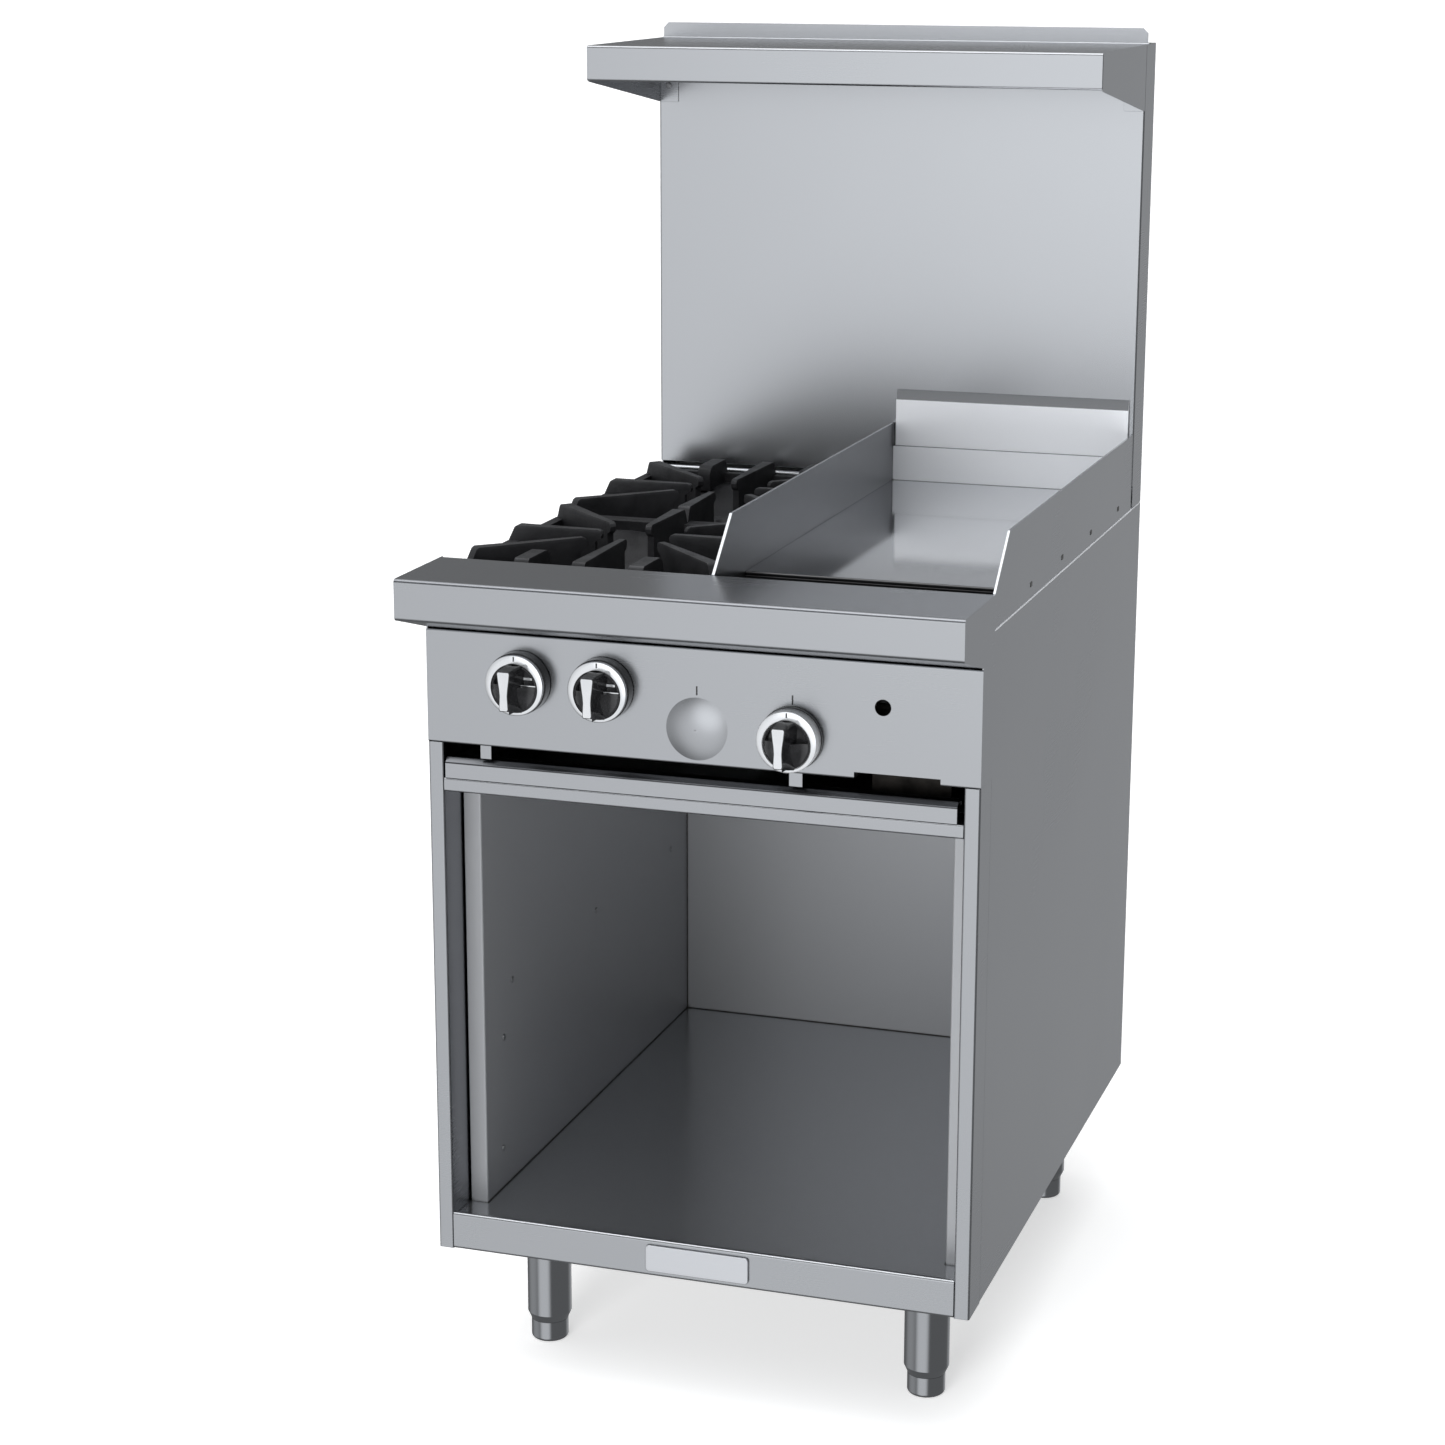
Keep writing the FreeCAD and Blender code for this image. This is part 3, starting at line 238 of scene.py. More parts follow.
def griddle_steel():
    """Polished plate: faint scraper lines from front to back over a near mirror, darker in front by painted
    shade.
    """
    s = Shader("griddle_steel", metallic=1.0)
    lines = s.noise(700.0, detail=3.0, rough=0.6, stretch=(1.0, 0.01, 1.0))
    cloud = s.noise(6.0, detail=2.0)
    base = s.mix(s.spread(cloud, 0.0, 1.0), (0.70, 0.71, 0.73), (0.74, 0.75, 0.765))
    scored = s.mix(s.spread(lines, 0.0, 0.3), base, (0.80, 0.805, 0.81))
    # Painted shade: darker towards the front, standing in for a darker reflection there
    front_shade = s.spread(s.sum(s.along("Y"), s.spread(cloud, -0.04, 0.04)), 0.6, 0.0, -0.19, 0.08)
    s.color(s.mix(front_shade, scored, (0.40, 0.395, 0.39)))
    s.roughness(s.sum(s.spread(lines, 0.055, 0.075), s.spread(cloud, -0.01, 0.02)))
    s.bump(lines, 0.0000001)
    return s.material


def dark_pan():
    """Steel blackened by baked-on grease, and near black as painted shade: on the grease pan seen in its
    dark notch, on the splash's screw heads and in the cabinet's joints.
    """
    s = Shader("dark_pan", metallic=0.3)
    grease = s.noise(60.0, detail=5.0, rough=0.6)
    s.color(s.mix(s.spread(grease, 0.0, 1.0), (0.012, 0.011, 0.010), (0.045, 0.040, 0.036)))
    s.roughness(s.spread(grease, 0.30, 0.55))
    s.bump(grease, 0.0003)
    return s.material


def galvanised():
    """Zinc spangle: faceted patches of slightly different grey."""
    s = Shader("galvanised", metallic=1.0)
    facets = s.spread(s.cells(110.0), 0.0, 1.0, 0.0, 1.0)
    dirt = s.noise(14.0, detail=5.0)
    tone = s.mix(facets, (0.40, 0.41, 0.42), (0.50, 0.51, 0.52))
    s.color(s.mix(s.spread(dirt, 0.0, 0.2, 0.45, 0.7), tone, (0.30, 0.29, 0.28)))
    s.roughness(s.sum(s.spread(facets, 0.30, 0.44, 0.0, 1.0), s.spread(dirt, 0.0, 0.05)))
    s.bump(facets, 0.00001)
    return s.material


def zinc_screw():
    s = Shader("zinc_screw", metallic=1.0)
    grain = s.noise(1600.0, detail=3.0)
    s.color(s.mix(s.spread(grain, 0.0, 1.0), (0.42, 0.42, 0.43), (0.56, 0.56, 0.57)))
    s.roughness(s.spread(grain, 0.24, 0.36))
    s.bump(grain, 0.00005)
    return s.material


def cast_iron():
    """Sand-cast, black: grainy skin, a little greyer on the tops, partly wear where pans slide and partly
    painted highlight.
    """
    s = Shader("cast_iron", metallic=0.0)
    sand = s.noise(1100.0, detail=5.0, rough=0.7)
    swell = s.noise(90.0, detail=3.0)
    patch = s.noise(28.0, detail=4.0, rough=0.6)
    # Greyer tops: partly wear, partly painted highlight
    top = s.spread(s.along("Z"), 0.0, 1.0, 0.9165, 0.9195)
    wear_and_highlight = s.sum(top, s.spread(patch, 0.15, 0.9), "MULTIPLY")
    skin = s.mix(s.spread(patch, 0.0, 1.0), (0.018, 0.018, 0.020), (0.040, 0.040, 0.043))
    s.color(s.mix(wear_and_highlight, skin, (0.085, 0.086, 0.09)))
    s.metallic(s.spread(wear_and_highlight, 0.15, 0.6, 0.0, 1.0))
    s.roughness(s.sum(s.spread(sand, 0.42, 0.62), s.spread(wear_and_highlight, 0.0, -0.12, 0.0, 1.0)))
    s.bump(s.sum(sand, s.sum(swell, 2.0, "MULTIPLY")), 0.00028)
    return s.material


def black_pipe():
    s = Shader("black_pipe", metallic=0.4)
    scale = s.noise(240.0, detail=5.0, rough=0.6)
    s.color(s.mix(s.spread(scale, 0.0, 1.0), (0.030, 0.030, 0.032), (0.085, 0.080, 0.076)))
    s.roughness(s.spread(scale, 0.38, 0.62))
    s.bump(scale, 0.0002)
    return s.material


def brass():
    s = Shader("brass", metallic=1.0)
    rings = s.noise(1400.0, detail=2.0, stretch=(1, 0.2, 1))
    tarnish = s.noise(60.0, detail=4.0)
    s.color(s.mix(s.spread(tarnish, 0.0, 0.7), (0.74, 0.55, 0.26), (0.42, 0.28, 0.13)))
    s.roughness(s.sum(s.spread(rings, 0.20, 0.30), s.spread(tarnish, 0.0, 0.15)))
    s.bump(rings, 0.00005)
    return s.material


def aluminium_tube():
    s = Shader("aluminium_tube", metallic=1.0)
    drawn = s.noise(900.0, detail=3.0)
    soot = s.noise(40.0, detail=4.0)
    s.color(s.mix(s.spread(soot, 0.0, 0.6), (0.72, 0.73, 0.74), (0.38, 0.36, 0.34)))
    s.roughness(s.spread(drawn, 0.26, 0.40))
    s.bump(drawn, 0.00006)
    return s.material


def chrome():
    s = Shader("chrome", metallic=1.0)
    haze = s.noise(45.0, detail=4.0)
    fine = s.noise(2200.0, detail=2.0)
    s.color(s.mix(s.spread(haze, 0.0, 1.0), (0.90, 0.91, 0.93), (0.96, 0.965, 0.98)))
    s.roughness(s.sum(s.spread(haze, 0.10, 0.15), s.spread(fine, 0.0, 0.03)))
    s.bump(fine, 0.00001)
    return s.material


def satin_chrome():
    """Finely turned side of a chrome ring."""
    s = Shader("satin_chrome", metallic=0.35)
    turned = s.noise(1500.0, detail=2.0, stretch=(1.0, 0.05, 1.0))
    s.color(s.mix(s.spread(turned, 0.0, 1.0), (0.80, 0.81, 0.83), (0.90, 0.91, 0.93)))
    s.roughness(s.spread(turned, 0.30, 0.36))
    s.bump(turned, 0.00001)
    return s.material


def knob_black():
    """Moulded phenolic: glossy, with a faint orange-peel skin and finger dulling."""
    s = Shader("knob_black", metallic=0.0, coat_weight=0.35, coat_roughness=0.08)
    peel = s.noise(420.0, detail=2.0)
    dull = s.noise(70.0, detail=4.0)
    s.color(s.mix(s.spread(dull, 0.0, 1.0), (0.011, 0.011, 0.012), (0.024, 0.024, 0.026)))
    s.roughness(s.sum(s.spread(dull, 0.12, 0.20), s.spread(peel, 0.0, 0.03)))
    s.bump(peel, 0.00006)
    return s.material


MATERIALS = {make.__name__.replace("_metal", ""): make() for make in (
    stainless, liner_steel, leg_steel, badge_metal, griddle_steel, galvanised, zinc_screw, cast_iron,
    black_pipe, brass, aluminium_tube, chrome, knob_black, dark_pan)}
# Copies of the stainless: the side one is painted shade, the lit one painted light; the upright one only
# turns the grain
UPRIGHT, SHADED_SIDE, LIT_STEEL = stainless_upright(), shaded_side_stainless(), backsplash_steel()
# Darker copies of the steel, both painted shade: the trough's, and one for the top of the crumb tray's lip
TROUGH_SHADE, SHADED = shaded_trough_steel(), brushed("shaded_steel", shade(SHADE_STEEL, 0.55), 0.22, "x")
# Own materials of some nodes; among them painted shade on the side panels and the grease trough, and
# painted light on the griddle backsplash
SPECIAL = {"backguard": UPRIGHT, "side_panel_right": SHADED_SIDE, "side_panel_left": SHADED_SIDE,
           "griddle_backsplash": LIT_STEEL, "cabinet_floor": floor_steel(), "grease_trough": TROUGH_SHADE}
SIDEWAYS, SLOPED = 0.9, 0.15         # face normals beyond these along an axis are dressed apart
TRAY_LIP = 12 * MM                   # height of the crumb tray's rolled lip
SPLASH_SCREWS_Y, SPLASH_SCREWS_Z = (-152, -1, 149, 303), 897          # mm


def dress(piece, material):
    piece.data.materials.clear()
    piece.data.materials.append(material)


# ---- pieces ----

def new_piece(name, shape, material, body):
    """Object from a bmesh that rides on a body and wears the material it is given."""
    mesh = bpy.data.meshes.new(name)
    shape.to_mesh(mesh)
    shape.free()
    piece = bpy.data.objects.new(name, mesh)
    bpy.context.scene.collection.objects.link(piece)
    dress(piece, material)
    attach(piece, body)
    return piece


def round_edges(piece, width, limit=32.0, segments=2):
    """Bevel the sharp edges and keep the flat faces flat in their shading."""
    piece.data.shade_smooth()
    bevel = piece.modifiers.new("edges", "BEVEL")
    bevel.width, bevel.segments, bevel.limit_method = width, segments, "ANGLE"
    bevel.angle_limit, bevel.miter_outer = math.radians(limit), "MITER_ARC"
    weighted = piece.modifiers.new("normals", "WEIGHTED_NORMAL")
    weighted.keep_sharp, weighted.weight = True, 100
    apply_modifiers(piece)


def apply_modifiers(piece):
    depsgraph = bpy.context.evaluated_depsgraph_get()
    done = bpy.data.meshes.new_from_object(piece.evaluated_get(depsgraph), preserve_all_data_layers=True,
                                           depsgraph=depsgraph)
    piece.modifiers.clear()
    piece.data = done


def finish_of(name):
    return SPECIAL.get(name) or MATERIALS[SLOT_OF[name]]


# Front steels whose side-facing faces take the painted-shade side copy
FRONT_STEELS = (MATERIALS["stainless"], UPRIGHT)


def dress_faces(piece, material, chosen):
    """Another material for the chosen faces: where the grain turns, and where a darker or lighter copy of
    the steel is painted shade or painted light.
    """
    piece.data.materials.append(material)
    for face in piece.data.polygons:
        if chosen(face):
            face.material_index = len(piece.data.materials) - 1


def softened(name, width):
    """The node's own shape with its cut edges broken."""
    shape = bmesh.new()
    shape.from_mesh(NODES[name].data)
    bmesh.ops.remove_doubles(shape, verts=shape.verts, dist=0.000002)
    bmesh.ops.dissolve_limit(shape, angle_limit=math.radians(1.0), verts=shape.verts, edges=shape.edges)
    piece = new_piece(f"{name}_finished", shape, finish_of(name), BODY_OF[name])
    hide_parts(name)
    round_edges(piece, width)
    dress_parts(name, piece)


def dress_parts(name, piece):
    """Faces of a node that look different from the rest of it: darker or lighter copies of its steel,
    painted shade and painted light.
    """
    # Painted shade: side-facing faces of the front steels take the darker side copy
    if piece.data.materials[0] in FRONT_STEELS:
        dress_faces(piece, SHADED_SIDE, lambda face: abs(face.normal.x) > SIDEWAYS)
    # The backsplash's front wears painted light; its upward faces keep the plain steel, darker
    if name == "griddle_backsplash":
        dress_faces(piece, UPRIGHT, lambda face: face.normal.z > SLOPED)
    # Painted shade: the rail's top front bend takes the darker side copy, dulling its highlight
    if name == "plate_rail":
        dress_faces(piece, SHADED_SIDE, lambda face: face.normal.z > SLOPED and face.normal.y < -SLOPED)
    # Painted shade: the griddle plate's front faces take the near-black trough copy
    if name == "griddle_plate":
        dress_faces(piece, TROUGH_SHADE, lambda face: face.normal.y < -SLOPED)
    # Painted highlight: the side panels' upward top edges take the lit copy
    if name in ("side_panel_right", "side_panel_left"):
        dress_faces(piece, LIT_STEEL, lambda face: SLOPED < face.normal.z)
    # Painted shade: the top of the crumb tray's lip takes a darker copy
    if name == "crumb_tray":
        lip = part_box(name)[1][2] - TRAY_LIP
        dress_faces(piece, SHADED, lambda face: face.normal.z > SLOPED and face.center.z > lip)
    # Painted shade: the left splash's inner face takes a darker copy
    if name == "griddle_splashes":
        middle = (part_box(name)[0][0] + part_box(name)[1][0]) / 2
        dress_faces(piece, splash_steel(), lambda face: face.normal.x > SIDEWAYS and face.center.x < middle)


SHEET_PIECES = ("kick_panel", "front_posts", "side_panel_right", "side_panel_left", "cross_rail",
                "liner_right", "liner_left", "control_panel", "plate_rail", "backguard", "high_shelf",
                "shelf_brackets", "rear_trim", "griddle_splashes", "griddle_backsplash", "crumb_tray",
                "grease_trough", "center_divider", "griddle_plate")
EDGE_WIDTHS = {name: 0.35 * MM for name in SHEET_PIECES}
EDGE_WIDTHS.update({"side_panel_right": 0.55 * MM, "side_panel_left": 0.55 * MM})
EDGE_WIDTHS.update({"front_grate": 1.1 * MM, "rear_grate": 1.1 * MM, "burner_caps": 0.7 * MM,
                    "griddle_splashes": 0.6 * MM, "badge_plate": 0.3 * MM})


def finish_cad_nodes():
    for name, node in NODES.items():
        dress(node, finish_of(name))
    for name, width in EDGE_WIDTHS.items():
        softened(name, width)


# ---- knobs ----

HUB_R, RING_R, SKIRT_R, HUB_DROP = 25.3, 32.2, 33.0, 3.0     # in mm; heights below from the panel
HUB_FLOOR, HUB_RIM, RING_FRONT, GRIP_FRONT = 15.0, 21.0, 21.5, 50.0
FACE_T = 0.4
# Chrome strips on the knobs' ledges, where the ledge shows a reflection: painted highlight
GLINTS = ((4.5, 24.2, 0.1, 1.5, HUB_RIM + 0.6),      # left, right, lower, upper edge and front
        (5.5, 18.5, 5.6, 8.6, HUB_FLOOR + 1.6))


def knob_frame(name):
    """Centre and panel plane of a knob, in metres."""
    low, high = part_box(f"bezel_{name}")
    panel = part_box("control_panel")[0][1]
    return ((low[0] + high[0]) / 2, panel, (low[2] + high[2]) / 2)


def stand_out(shape, centre):
    """Turn a shape made in mm, with x and y across the knob and z outwards, into its place."""
    x, y, z = centre
    for vertex in shape.verts:
        across, up, out = vertex.co
        vertex.co = (x + across * MM, y - out * MM, z + up * MM)
    bmesh.ops.recalc_face_normals(shape, faces=shape.faces)
    return shape


def spun(profile, steps=128):
    """Closed radius-height profile turned about the ring's axis, or about the hub's where marked."""
    shape = bmesh.new()
    rings = []
    for k in range(steps):
        angle = 2 * math.pi * k / steps
        across, up = math.cos(angle), math.sin(angle)
        rings.append([shape.verts.new((r * across, r * up - (HUB_DROP if low else 0), h))
                      for r, h, low in profile])
    for near, far in zip(rings, rings[1:] + rings[:1]):
        for (a, b), (c, d) in zip(zip(near, near[1:] + near[:1]), zip(far, far[1:] + far[:1])):
            shape.faces.new((a, b, d, c))
    bmesh.ops.remove_doubles(shape, verts=shape.verts, dist=0.001)
    return shape


def arc_points(centre, radius, start, end, steps=8):
    x, y = centre
    turns = [math.radians(start + (end - start) * k / steps) for k in range(steps + 1)]
    return [(x + radius * math.cos(t), y + radius * math.sin(t)) for t in turns]


def marked(points, low):
    """Profile points about the hub's lower axis, or about the ring's."""
    return [(r, h, low) for r, h in points]


def lofted(sections):
    """Closed solid through outlines that all have the same number of points."""
    shape = bmesh.new()
    rows = [[shape.verts.new(point) for point in section] for section in sections]
    for low, high in zip(rows, rows[1:]):
        for (a, b), (c, d) in zip(zip(low, low[1:] + low[:1]), zip(high, high[1:] + high[:1])):
            shape.faces.new((a, b, d, c))
    shape.faces.new(rows[0])
    shape.faces.new(rows[-1])
    return shape


def grip_outline(height):
    """Hourglass outline of the bar: slender at its face, flared and longer at its foot."""
    down = (GRIP_FRONT - height) / (GRIP_FRONT - HUB_FLOOR)
    top, bottom = 21 + down, -21 - 9 * down
    flare = 6.0 * down ** 1.7
    widths = ((0.0, 6.4), (0.04, 7.4), (0.25, 6.3), (0.45, 5.0),       # share of the length, half width
              (0.62, 4.4), (0.8, 4.8), (0.95, 5.2), (1.0, 4.2))
    right = [(half + flare * (0.4 + 0.6 * t), top + (bottom - top) * t, height) for t, half in widths]
    return right + [(-x, y, h) for x, y, h in reversed(right)]


def grip():
    return lofted([grip_outline(h) for h in (HUB_FLOOR - 2, 18, 22, 27, 33, 40, 46, GRIP_FRONT - FACE_T)])


def grip_face():
    return lofted([[(x * 0.88, y * 0.97, h) for x, y, _ in grip_outline(GRIP_FRONT)]
                   for h in (GRIP_FRONT - FACE_T - 0.2, GRIP_FRONT)])


def border(grid):
    """Outer loop of a grid of vertices, in order."""
    return ([row[0] for row in grid] + grid[-1][1:-1]
            + [row[-1] for row in reversed(grid)] + grid[0][-2:0:-1])


def lower_swell(columns=24, rows=20):
    """Lower half of the hub, which swells up smoothly towards the bar."""
    shape = bmesh.new()
    radius, crest = HUB_R - 0.2, 15.0
    top, under = [], []
    start, end = math.asin(HUB_DROP / radius), -0.985 * math.pi / 2
    for row in range(rows + 1):
        y = radius * math.sin(start + (end - start) * row / rows)
        half = math.sqrt(radius ** 2 - y ** 2)
        line = [(half * (2 * k / columns - 1), y) for k in range(columns + 1)]
        heights = [HUB_RIM - 0.6 + crest * (1 - min(1, abs(x) / half)) ** 2.2 for x, _ in line]
        top.append([shape.verts.new((x, y - HUB_DROP, h)) for (x, y), h in zip(line, heights)])
        under.append([shape.verts.new((x, y - HUB_DROP, HUB_FLOOR - 2)) for x, y in line])
    for grid in (top, under):
        for near, far in zip(grid, grid[1:]):
            for (a, b), (c, d) in zip(zip(near, near[1:]), zip(far, far[1:])):
                shape.faces.new((a, b, d, c))
    edge, foot = border(top), border(under)
    for (a, b), (c, d) in zip(zip(edge, edge[1:] + edge[:1]), zip(foot, foot[1:] + foot[:1])):
        shape.faces.new((a, b, d, c))
    return shape


def union(piece, others):
    for k, other in enumerate(others):
        mesh = bpy.data.meshes.new(f"tool_{k}")
        other.to_mesh(mesh)
        other.free()
        tool = bpy.data.objects.new(f"tool_{k}", mesh)
        bpy.context.scene.collection.objects.link(tool)
        joined = piece.modifiers.new("join", "BOOLEAN")
        joined.operation, joined.solver, joined.object = "UNION", "EXACT", tool
        apply_modifiers(piece)
        bpy.data.objects.remove(tool)
        bpy.data.meshes.remove(mesh)


def knob_body(name, centre, ring_back):
    back = (centre[1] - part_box(f"knob_{name}")[1][1]) / MM
    edge = 1.2
    skirt = [(0, back), (SKIRT_R - 0.8, back), (SKIRT_R, back + 0.8), (SKIRT_R, ring_back - 0.3),
             (SKIRT_R - 0.3, ring_back)]
    hub = ([(HUB_R - 0.05, ring_back), (HUB_R - 0.05, HUB_RIM - edge)]
           + arc_points((HUB_R - 0.05 - edge, HUB_RIM - edge), edge, 0, 90, 4)
           + [(HUB_R - 2.4, HUB_RIM - 0.6), (HUB_R - 3.6, HUB_FLOOR + 0.8), (HUB_R - 5, HUB_FLOOR)]
           + [(0, HUB_FLOOR)])
    profile = marked(skirt, False) + marked(hub, True)
    piece = new_piece(f"knob_{name}_body", stand_out(spun(profile), centre), MATERIALS["knob_black"],
                      f"knob_{name}")
    union(piece, [stand_out(lower_swell(), centre), stand_out(grip(), centre)])
    round_edges(piece, 0.5 * MM, limit=35.0)
    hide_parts(f"knob_{name}")


def knob_ring(name, centre, ring_back):
    soft, lip, front = 0.9, 0.4, RING_FRONT
    outer = ([(RING_R - lip, ring_back + 0.1), (RING_R, ring_back + 0.1 + lip)]
             + arc_points((RING_R - soft, front - 0.5 - soft), soft, 0, 80))
    inner = (arc_points((HUB_R + 0.1 + soft, front - soft), soft, 86, 180, 6)
             + [(HUB_R + 0.1, ring_back + 0.1)])
    profile = marked(outer, False) + marked(inner, True)
    piece = new_piece(f"knob_{name}_ring", stand_out(spun(profile), centre), MATERIALS["chrome"],
                      f"knob_{name}")
    piece.data.shade_smooth()
    if name == "right":
        dress_faces(piece, satin_chrome(), lambda face: abs(face.normal.y) < 0.7)
    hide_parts(f"bezel_{name}")


def knob_glints(name, centre):
    """Bright chrome strip along the ledge beside the bar, and a short one above it: painted highlight
    standing in for the ledge's glints.
    """
    for k, (start, end, low, high, front) in enumerate(GLINTS, 1):
        outline = [(start, low), (end, low), (end, high), (start, high)]
        shape = lofted([[(x, y, h) for x, y in outline] for h in (HUB_FLOOR - 1, front)])
        piece = new_piece(f"knob_{name}_glint_{k}", stand_out(shape, centre), MATERIALS["chrome"],
                          f"knob_{name}")
        round_edges(piece, 0.3 * MM)


def knob_mark(name, centre):
    """Small index line at the top of the ring."""
    half, start, end = 0.75, RING_R - 6.6, RING_R - 1.6
    outline = [(-half, start), (half, start), (half, end), (-half, end)]
    shape = lofted([[(x, y, h) for x, y in outline] for h in (RING_FRONT - 2.2, RING_FRONT - 0.12)])
    piece = new_piece(f"knob_{name}_mark", stand_out(shape, centre), MATERIALS["knob_black"],
                      f"knob_{name}")
    round_edges(piece, 0.1 * MM)


def knobs():
    for name in ("left", "middle", "right"):
        centre = knob_frame(name)
        ring_back = (centre[1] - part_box(f"bezel_{name}")[1][1]) / MM
        knob_body(name, centre, ring_back)
        knob_ring(name, centre, ring_back)
        knob_mark(name, centre)
        # Painted highlight on the ledges of the left and middle knobs
        if name != "right":
            knob_glints(name, centre)
        face = new_piece(f"knob_{name}_face", stand_out(grip_face(), centre), MATERIALS["chrome"],
                         f"knob_{name}")
        round_edges(face, 0.15 * MM)


def panel_ticks():
    """Short printed line on the panel above the blank plug and above the right knob."""
    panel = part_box("control_panel")[0][1]
    half, length, raised = 0.85, 9.5, 0.08
    for name, node, gap in (("plug", "blank_plug", 2.5), ("knob", "bezel_right", 2.5)):
        low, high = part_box(node)
        centre = ((low[0] + high[0]) / 2, panel, high[2] + gap * MM)
        outline = [(-half, 0), (half, 0), (half, length), (-half, length)]
        shape = lofted([[(x, y, h) for x, y in outline] for h in (-0.2, raised)])
        piece = new_piece(f"panel_tick_{name}", stand_out(shape, centre), MATERIALS["knob_black"],
                          "range_body")
        round_edges(piece, 0.04 * MM)


# ---- studio ----

def add_camera():
    data = bpy.data.cameras.new("camera")
    data.lens, data.sensor_width = 78.67, 36.0
    camera = bpy.data.objects.new("camera", data)
    camera.location = (1.0117, -3.3266, 1.5788)
    pitch, roll, yaw = -14.406, -0.071, 18.361
    camera.rotation_euler = [math.radians(a) for a in (90 + pitch, roll, yaw)]
    bpy.context.scene.collection.objects.link(camera)
    bpy.context.scene.camera = camera


def add_softbox(name, place, target, size, power, mirrored=True):
    data = bpy.data.lights.new(name, "AREA")
    data.shape, (data.size, data.size_y) = "RECTANGLE", size
    data.energy = power
    lamp = bpy.data.objects.new(name, data)
    lamp.location = place
    lamp.rotation_euler = (Vector(target) - Vector(place)).to_track_quat("-Z", "Y").to_euler()
    lamp.visible_glossy = mirrored
    bpy.context.scene.collection.objects.link(lamp)


GLOW = 0.17
LOBES = (  # direction, strength, cosines where a lobe of the studio's light fades in
    ((-0.15, -0.95, -0.27), 0.68, 0.78, 0.96),
    ((-0.05, -0.99, 0.06), 0.62, 0.925, 0.985),
    ((0.24, 0.95, -0.12), 0.34, 0.82, 0.99),
    ((-1.0, -0.25, 0.05), 0.30, 0.60, 0.95),
    ((0.0, -0.35, 0.93), 1.60, 0.80, 0.97))


def add_world():
    """Studio dome: an even dim glow, brighter in front near the floor and a little on the left."""
    world = bpy.data.worlds.new("studio")
    world.use_nodes = True
    tree = world.node_tree
    place = tree.nodes.new("ShaderNodeTexCoord").outputs["Generated"]
    total = None
    for direction, strength, start, full in LOBES:
        towards = tree.nodes.new("ShaderNodeVectorMath")
        towards.operation = "DOT_PRODUCT"
        towards.inputs[1].default_value = Vector(direction).normalized()
        tree.links.new(place, towards.inputs[0])
        lobe = tree.nodes.new("ShaderNodeMapRange")
        lobe.interpolation_type = "SMOOTHSTEP"
        set_range(lobe, start, full, 0.0, strength)
        tree.links.new(towards.outputs["Value"], lobe.inputs["Value"])
        added = tree.nodes.new("ShaderNodeMath")
        added.inputs[0].default_value = GLOW
        if total:
            tree.links.new(total, added.inputs[0])
        tree.links.new(lobe.outputs["Result"], added.inputs[1])
        total = added.outputs[0]
    background = tree.nodes["Background"]
    background.inputs["Color"].default_value = (0.96, 0.98, 1.0, 1.0)
    tree.links.new(total, background.inputs["Strength"])
    bpy.context.scene.world = world


def add_overhead():
    """Even top light that keeps the floor pale."""
    data = bpy.data.lights.new("overhead", "SUN")
    data.energy, data.angle = 1.0, math.radians(70)
    lamp = bpy.data.objects.new("overhead", data)
    lamp.rotation_euler = (math.radians(-8), math.radians(-10), 0)
    bpy.context.scene.collection.objects.link(lamp)


def add_floor():
    half = 400.0
    mesh = bpy.data.meshes.new("floor")
    corners = [(-half, -half, 0), (half, -half, 0), (half, half, 0), (-half, half, 0)]
    mesh.from_pydata(corners, [], [(0, 1, 2, 3)])
    floor = bpy.data.objects.new("floor", mesh)
    bpy.context.scene.collection.objects.link(floor)
    s = Shader("floor", roughness=0.9)
    s.set(base_color=(0.9, 0.9, 0.9, 1.0), emission_color=(1.0, 1.0, 1.0, 1.0), emission_strength=0.55)
    s.bsdf.inputs["Specular IOR Level"].default_value = 0.1
    dress(floor, s.material)
    floor.visible_glossy = False     # the dome alone shows in the steel


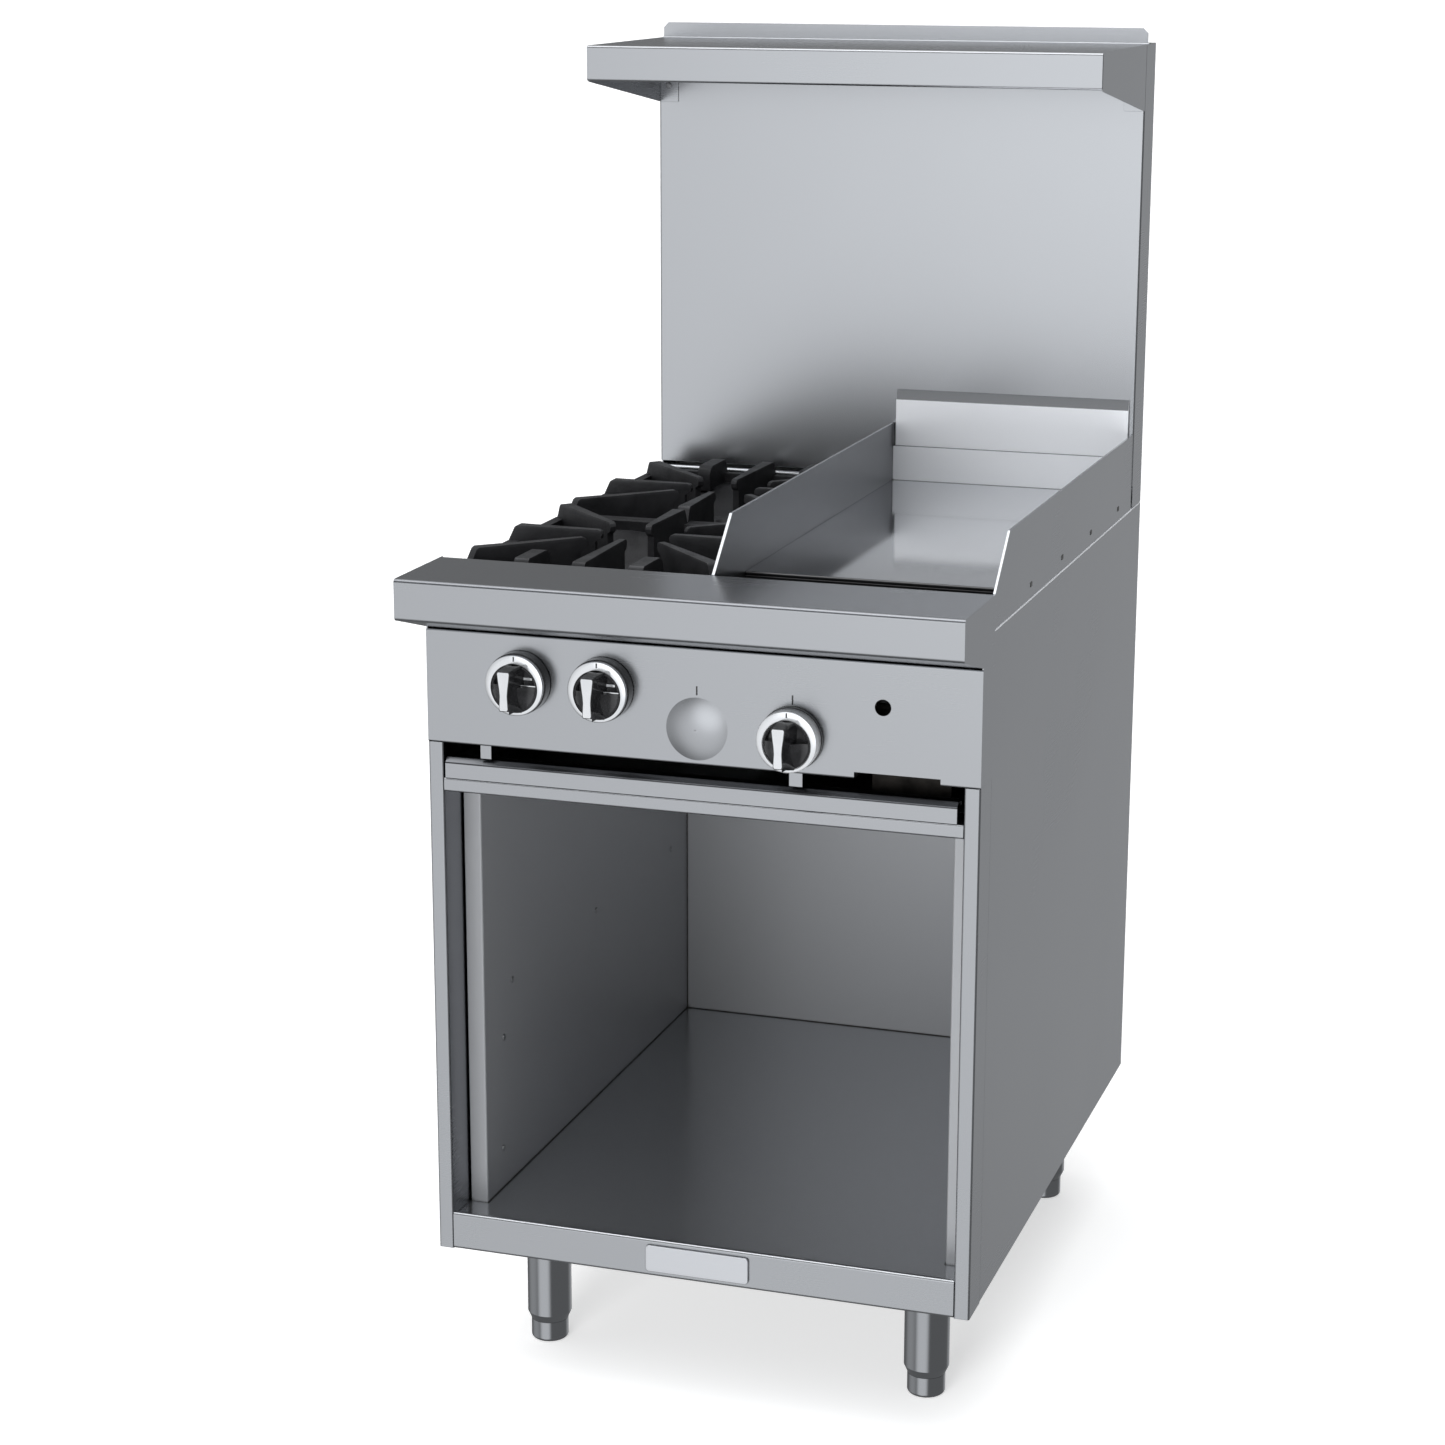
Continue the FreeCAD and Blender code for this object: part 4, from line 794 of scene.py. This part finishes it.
def splash_screws():
    """Heads of the four screws low on the right splash guard, near black as painted shade of the slots they
    cover.
    """
    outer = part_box("griddle_splashes")[1][0]
    across, up, proud = 4.4 * MM, 2.6 * MM, 0.3 * MM
    middle = SPLASH_SCREWS_Z * MM
    for k, y in enumerate(SPLASH_SCREWS_Y, 1):
        outline = [(y * MM - across, middle - up), (y * MM + across, middle - up),
                   (y * MM + across, middle + up), (y * MM - across, middle + up)]
        shape = lofted([[(x, a, b) for a, b in outline] for x in (outer - 0.9 * MM, outer + proud)])
        bmesh.ops.recalc_face_normals(shape, faces=shape.faces)
        piece = new_piece(f"splash_screw_{k}", shape, MATERIALS["dark_pan"], "range_body")
        round_edges(piece, 0.2 * MM)


def bar(name, low, high):
    """Thin straight strip between two corners."""
    outline = [(low[0], low[1]), (high[0], low[1]), (high[0], high[1]), (low[0], high[1])]
    shape = lofted([[(x, y, z) for x, y in outline] for z in (low[2], high[2])])
    bmesh.ops.recalc_face_normals(shape, faces=shape.faces)
    piece = new_piece(name, shape, MATERIALS["dark_pan"], "range_body")
    round_edges(piece, 0.1 * MM)


def cabinet_joint_shades():
    """Near-black strips along the joints of the cabinet's floor and walls: painted shade."""
    width = 0.9 * MM
    floor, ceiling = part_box("cabinet_floor")[1][2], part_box("liner_right")[1][2]
    side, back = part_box("liner_right")[0][0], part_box("liner_back")[0][1]
    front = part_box("liner_right")[0][1]
    for name, sign in (("right", 1), ("left", -1)):
        x = sorted((sign * side, sign * (side - width)))
        bar(f"seam_floor_{name}", (x[0], front, floor), (x[1], back, floor + width))
        bar(f"seam_corner_{name}", (x[0], back - width, floor + width), (x[1], back, ceiling))
    bar("seam_floor_back", (-side, back - width, floor), (side, back, floor + width))


def build():
    bpy.context.scene.view_settings.view_transform = "Standard"
    add_camera()
    add_world()
    add_overhead()
    add_softbox("fill", (-0.2, -3.4, 1.0), (0, 0, 0.45), (1.4, 1.0), 52, mirrored=False)
    add_floor()
    finish_cad_nodes()
    knobs()
    panel_ticks()
    splash_screws()
    cabinet_joint_shades()


build()
